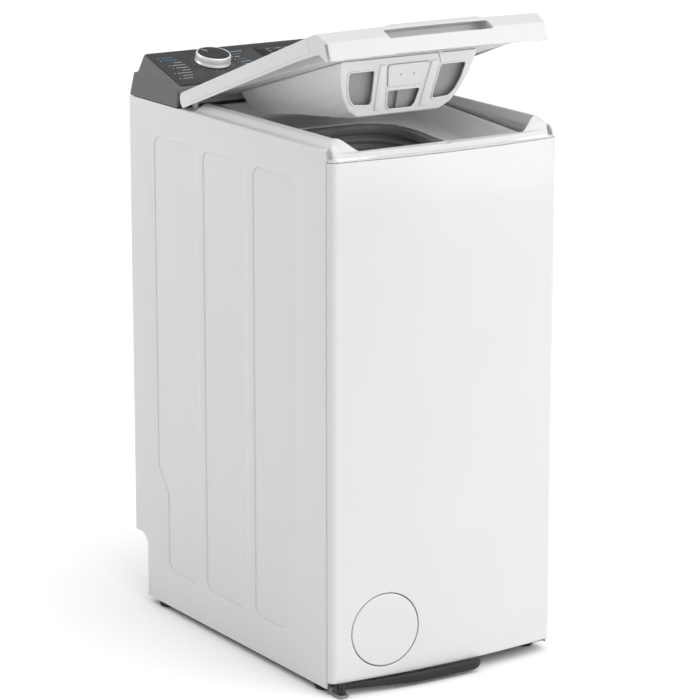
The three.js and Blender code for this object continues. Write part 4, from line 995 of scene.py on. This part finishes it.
def knob():
    place = CONSOLE @ Matrix.Translation((KNOB_AT["x"], KNOB_AT["s"], 0))
    r = KNOB_AT["radius"]
    shell = Shell()
    ring = [(0, -9), (5.5, -9), (5.5, 2.1), (28.2, 2.1), (28.4, 2.4), (28.4, 4.0), (r, 4.5), (r - 0.1, 9),
            (27.6, 15.0), (27.3, 16.1), (26.7, 16.8), (26.0, 17.0), (25.4, 16.9), (25.0, 16.4), (25, 15.2),
            (0, 15.2)]
    shell.turned(ring, place, 128)
    make("knob_ring", shell, CHROME, "knob", ["knob_body"], sharp=40)
    cap = Shell()
    cap.turned([(0, 15.4), (24.4, 15.4), (24.8, 15.8), (24.8, 16.5), (24.3, 17.0), (22.5, 17.15), (12, 16.9),
                (0, 16.8)], place, 128)
    make("knob_face", cap, GLOSS, "knob", ["knob_cap"], sharp=40)
    pointer = Shell()
    turn = Matrix.Rotation(math.radians(35), 4, "Z")
    pointer.prism(fillet(oblong(-0.8, 11, 0.8, 21.5), 0.6, 4), 16.7, 17.25, place @ turn)
    make("knob_pointer", pointer, INK_WHITE, "knob")


# ---- Lid ----
WALL = {"l": 336.0, "w": -25.0, "run": 0.8}


def wall_l(w):
    """How far the dispenser's leaning front wall is from the hinge, at a height w in the lid."""
    return WALL["l"] + WALL["run"] * (w - WALL["w"])


FRONT_WALL_FOOT = -57.0
FRONT_WALL = (LID @ Matrix.Translation((0, -wall_l(FRONT_WALL_FOOT), FRONT_WALL_FOOT))
              @ Matrix.Rotation(math.pi - math.atan2(1, WALL["run"]), 4, "X"))


def dispenser_ribs():
    """Two tapering upright ribs that frame the middle of the dispenser's front wall."""
    shell = Shell()
    for side in (-1, 1):
        rib = [(39.8 * side, 38), (51 * side, 38), (46.5 * side, -38), (33.2 * side, -38)]
        slab(shell, fillet(rib, [3, 3, 4, 4], 5), 0.1, 2.4, 1.6)
    make("dispenser_ribs", shell, WHITE_PAINTED_LIGHT, "lid", place=FRONT_WALL, sharp=60)


def softener_cover():
    """The plate over the softener pocket: rounded corners, two small holes, and a seat round it whose grey is
    painted shade round the plate.
    """
    height = 29 * math.hypot(1, WALL["run"])
    outline = fillet([(-30, 0.5), (30, 0.5), (36.5, height - 0.5), (-36.5, height - 0.5)], 3.5, 6)
    shell = Shell()
    sides = shell.steps(outline, [(0, 0.35), (0, 1.4), (0.25, 1.9), (0.8, 2.15)])
    holes = [shell.steps(circle(x, height * 0.52, 1.5, 20), [(-0.4, 2.15), (0, 1.9), (0, 0.35)])
             for x in (-11.5, 11.5)]
    shell.flat(sides[-1], [hole[0] for hole in holes])
    shell.flat(sides[0], [hole[-1] for hole in holes])
    make("softener_plate", shell, WHITE_PAINTED_LIGHT, "lid", ["softener_cover"], place=FRONT_WALL,
         sharp=12)
    seat = Shell()
    slab(seat, inset(outline, -0.9), 0.32, 0.75, 0.2)
    make("softener_seat_shade", seat, SEAT_SHADE_GREY, "lid", place=FRONT_WALL, sharp=40)


def latch_hook():
    shell = Shell()
    shell.box((-14, -424, -12), (14, -402, -9.3))
    rings = []
    for half, front, back, w in ((3.4, 420, 415.4, -10), (3.2, 419.8, 415.4, -22), (2.6, 419.5, 415.6, -34),
                                 (1.5, 418.8, 416.0, -43), (0.5, 418, 416.8, -46.4)):
        rings.append([(x, y, w) for x, y in oblong(-half, -back, half, -front)])
    shell.loft(rings)
    web = [(-415.6, -11), (-408, -11), (-415.6, -24)]
    shell.loft([[(x, y, w) for y, w in web] for x in (-1, 1)])
    soften(make("latch_hook_prong", shell, WHITE, "lid", ["latch_hook"], place=LID), 0.8, 3)


MOUTH_SIDE = ((58, -34), (104, -34), (100, -55), (93, -69), (84, -77), (53, -79))
MOUTH_CENTRE = ((-29, -62), (29, -62), (25, -82), (20, -87), (-20, -87), (-25, -82))


def dispenser_mouths():
    radii = [5, 4, 14, 12, 8, 5]
    left = [(-x, w) for x, w in MOUTH_SIDE]
    return [fillet(MOUTH_SIDE, radii, 6), fillet(left, radii, 6), fillet(MOUTH_CENTRE, [3, 3, 4, 5, 5, 4], 6)]


def dispenser_rims():
    """Rounded beads round the three mouths in the dispenser's front wall, and a grey sheet inside each,
    painted shade in the pocket.
    """
    beads, shade_sheets = Shell(), Shell()
    for mouth, depth in zip(dispenser_mouths(), (13, 13, 10)):
        beads.tube([(p.x, -wall_l(p.y) - 0.3, p.y) for p in inset(mouth, -0.6)], 1.5, 12, closed=True)
        loop = inset(mouth, -3)
        shade_sheets.loft([[(p.x, -wall_l(p.y) + depth + 0.02 * (p.x - loop[0].x) + back, p.y) for p in loop]
                    for back in (0, 1)])
    divider = [(-8, -63), (-5, -63), (-3, -86), (-5.5, -86)]
    shade_sheets.loft([[(x, -wall_l(w) + back, w) for x, w in divider] for back in (2.5, 11)])
    make("dispenser_rims", beads, WHITE_PAINTED_LIGHT, "lid", place=LID, sharp=60)
    make("dispenser_pocket_shade", shade_sheets, POCKET_SHADE, "lid", place=LID, sharp=40)


LID_FACET = {"across": 9.0, "along": 38.0, "share": 0.93}
LID_HALF_WIDTH = 198.0
LID_FRONT_L = 436.0


def lid_corner(point):
    """Flattens the two front corners of the lid into long, shallow upright facets."""
    local = LID_BACK @ (point / MM)
    across = abs(local.x) - (LID_HALF_WIDTH - LID_FACET["across"])
    along = -local.y - (LID_FRONT_L - BOW - LID_FACET["along"])
    limit = LID_FACET["across"] * (1 - along / LID_FACET["along"])
    if across <= 0 or along <= 0 or across <= limit:
        return point
    local.x -= math.copysign((across - limit) * LID_FACET["share"], local.x)
    return LID @ local * MM


def lid_details():
    """The raised grip edge behind the finger recess, and the fine joint lines of the lid's side bands."""
    grip = Shell()
    foot_w = 14.4
    section = [(403.4, foot_w), (403.6, 16.6), (402.6, 19.0), (401, 19.8), (398, 19.2), (391, 16.6),
               (386, foot_w)]
    rises = ((-91, 0.02), (-84, 0.3), (-72, 0.8), (-66, 0.98), (-60, 1), (84, 1), (88, 0.9), (90, 0.6))
    grip.loft([[(x, -l, foot_w + (w - foot_w) * rise) for l, w in section] for x, rise in rises])
    make("lid_grip_edge", grip, WHITE, "lid", place=LID, sharp=50)
    seams = Shell()
    for side in (-LID_HALF_WIDTH, LID_HALF_WIDTH):
        seams.tube([(side, -24, -7.5), (side, -200, -7.5), (side, -370, -7.5), (side, -382, -8)], 0.26, 8)
        seams.tube([(side, -384, -10), (side, -384, 4), (side, -383.6, 13)], 0.26, 8)
    make("lid_joint_lines", seams, JOINT_GREY, "lid", place=LID, sharp=60)


LEDGE = {"top": 812.0, "inner": -272.0, "ridge": 832.4, "half_x": 175.0}


def frame_corners():
    """Webs that carry the side ridges down to the front ledge across the well's two front corners."""
    shell = Shell()
    start_y, run, foot, steps = -255.6, 36, 792, 16
    rest = LEDGE["top"] + 0.2
    for side in (-1, 1):
        rings = []
        for i in range(steps + 1):
            t = i / steps
            x = side * (LEDGE["half_x"] + 1 - run * t)
            y = start_y + (LEDGE["inner"] - start_y - 1.5) * t
            top = LEDGE["top"] + 0.3 + (LEDGE["ridge"] - LEDGE["top"] - 0.6) * (1 - t * t * (3 - 2 * t))
            crest = y - 2.4
            far = min(LEDGE["inner"] - 0.5, crest - 0.2)
            middle = crest + (far - crest) * 0.75
            section = [(y, foot), (y, top - 2.4), (y - 0.5, top - 0.9), (y - 1.3, top - 0.2), (crest, top),
                       (middle, (rest + top) / 2), (far, rest), (far, foot)]
            rings.append([(x, *point) for point in section])
        shell.loft(rings)
    make("top_frame_corner_webs", shell, WHITE, "cabinet", sharp=50)


WELL_HALF_X = 184.0
WELL_FRONT_Y = -284.0


def moulded_parts():
    """Pieces whose CAD shape is right, with their edges rounded as a mould leaves them."""
    frame_piece = moulded("top_frame", "top_frame_moulding", WHITE, "cabinet",
                           voxel=1.7, rounds=5, keep=0.35)
    frame_piece.data.materials.append(WELL_PAINTED_LIGHT)
    # Faces inside the well, below the shelf, take the lighter copy of the frame plastic: painted light in the
    # well's shade.
    for face in frame_piece.data.polygons:
        centre = face.center / MM
        if abs(centre.x) < WELL_HALF_X and WELL_FRONT_Y < centre.y and centre.z < shelf_z(centre.y) + 2:
            face.material_index = 1
    moulded("lid_shell", "lid_cover", WHITE, "lid", voxel=1.3, rounds=4, keep=0.3,
             reshape=lid_corner)
    # The dispenser takes the lighter copy of the white plastic: painted light against its shade.
    moulded("dispenser_body", "dispenser_moulding", WHITE_PAINTED_LIGHT, "lid", voxel=1.3, rounds=8,
             keep=0.4)
    moulded("console_housing", "console_moulding", GREY, "cabinet", voxel=1.3, rounds=7,
             keep=0.35)


# ---- Pieces that keep their CAD shape ----
# Each line gives a finish, the width of its rounded edges and the CAD nodes that take them.
KEPT = (
    (DULL_ZINC, 0.8, ["base_frame"]),
    (WHITE, 0.5, ["hinge_pin_left", "hinge_pin_right"]),
    (WHITE, 1.2, ["lid_liner"]),
    (WHITE, 4.0, ["drum_paddle"]),
    (BLACK, 0.6, ["lid_lock", "damper_left", "damper_right"]),
    (BLACK, 1.0, ["drain_filter"]),
    (BOARD, 0.3, ["control_board"]),
    (TUB, 1.0, ["tub_shell"]),
    (TUB, 1.2, ["tub_end_left", "tub_end_right", "drain_pump"]),
    (ZINC, 0.0, ["suspension_spring_left", "suspension_spring_right"]),
    (ZINC, 0.5, ["bearing_left", "bearing_right", "motor_pulley", "castor_carriage"]),
    (ZINC, 0.8, ["drum_pulley"]),
    (ZINC, 1.5, ["motor"]),
    (STEEL, 0.0, ["heater"]),
    (STEEL, 0.3, ["drum_end_left", "drum_end_right"]),
    (CONCRETE, 4.0, ["counterweight_front", "counterweight_rear"]),
    (HOSE, 0.0, ["sump_hose", "drain_hose"]),
    (HOSE, 0.3, ["drive_belt"]),
)


def kept_parts():
    for finish, edge, nodes in KEPT:
        for node in nodes:
            item = frame["nodes"][node]
            for slot in item.material_slots:
                slot.material = finish
            weld(item)
            if edge:
                soften(item, edge, 2, 28)


# ---- Studio ----
def direction(azimuth, elevation):
    """A unit vector from the object, at an azimuth from straight in front and an elevation, in degrees."""
    a, e = math.radians(azimuth), math.radians(elevation)
    return Vector((math.sin(a) * math.cos(e), -math.cos(a) * math.cos(e), math.sin(e)))


def light(name, kind, energy, back):
    """A light that shines away from the direction called back."""
    data = bpy.data.lights.new(name, kind)
    data.energy = energy
    item = bpy.data.objects.new(name, data)
    item.rotation_euler = back.to_track_quat("Z", "Y").to_euler()
    bpy.context.scene.collection.objects.link(item)
    return item


def floor():
    shell = Shell()
    reach, tiles = 30000, 24
    steps = [-reach + 2 * reach * i / tiles for i in range(tiles + 1)]
    shell.chain([shell.add((x, y, 0) for x in steps) for y in steps], closed=False)
    make("floor", shell, FLOOR, None)


def studio():
    world = bpy.data.worlds.new("studio")
    bpy.context.scene.world = world
    world.use_nodes = True
    nodes, links = world.node_tree.nodes, world.node_tree.links
    place = nodes.new("ShaderNodeTexCoord")
    split = nodes.new("ShaderNodeSeparateXYZ")
    sky = ramp(nodes, (0.42, (0.62, 0.62, 0.63, 1)), (0.85, (1.0, 1.0, 1.0, 1)))
    links.new(place.outputs["Generated"], split.inputs["Vector"])
    lift = fill(nodes.new("ShaderNodeMapRange"), From_Min=-1)
    links.new(split.outputs["Z"], lift.inputs["Value"])
    links.new(lift.outputs["Result"], sky.inputs["Fac"])
    links.new(sky.outputs["Color"], fill(nodes["Background"], Strength=0.78).inputs["Color"])

    for name, energy, spread, azimuth, elevation in (("key", 1.6, 80, 25, 52), ("front", 0.5, 40, 18, 7)):
        sun = light(name, "SUN", energy, direction(azimuth, elevation))
        sun.data.angle = math.radians(spread)
    panels = (("rear_wash", 8.0, 0.9, Vector((-1.25, 1.0, 1.5)), Vector((-0.2, 0.15, 0.75))),
              ("right_wash", 5.5, 1.0, Vector((1.3, -1.5, 0.95)), Vector((0.1, -0.3, 0.55))))
    for name, energy, size, place, target in panels:
        panel = light(name, "AREA", energy, place - target)
        panel.data.size = size
        panel.location = place
        panel.visible_camera = False


CAMERA = {"lens": 172.28, "azimuth": -32.89, "elevation": 14.02, "place_m": (-2.714, -4.2233, 1.6967)}


def camera():
    data = bpy.data.cameras.new("camera")
    data.lens = CAMERA["lens"]
    data.sensor_width = 36
    item = bpy.data.objects.new("camera", data)
    bpy.context.scene.collection.objects.link(item)
    item.rotation_mode = "QUATERNION"
    towards = -direction(CAMERA["azimuth"], CAMERA["elevation"])
    item.rotation_quaternion = towards.to_track_quat("-Z", "Y")
    item.location = CAMERA["place_m"]
    bpy.context.scene.camera = item
    bpy.context.scene.view_settings.view_transform = "Standard"


def build():
    camera()
    floor()
    studio()
    side_panel(-1, "left")
    side_panel(1, "right")
    front_panel()
    filter_cover()
    rear_panel()
    rear_screws()
    inlet()
    gland()
    for name in ("foot_front_left", "foot_front_right", "foot_rear_left", "foot_rear_right"):
        lo, hi = cad(name)
        foot(name, (lo.x + hi.x) / 2, (lo.y + hi.y) / 2)
    lever()
    for sign, label in ((-1, "left"), (1, "right")):
        castor_wheel(f"castor_wheel_{label}", f"wheel_{label}")
        seal_strip(sign, label)
    bellows()
    drum()
    flap(-1, "drum_flap_front", "flap_front")
    flap(1, "drum_flap_rear", "flap_rear")
    fascia()
    marks()
    display()
    knob()
    softener_cover()
    latch_hook()
    dispenser_rims()
    dispenser_ribs()
    lid_details()
    frame_corners()
    moulded_parts()
    kept_parts()


build()
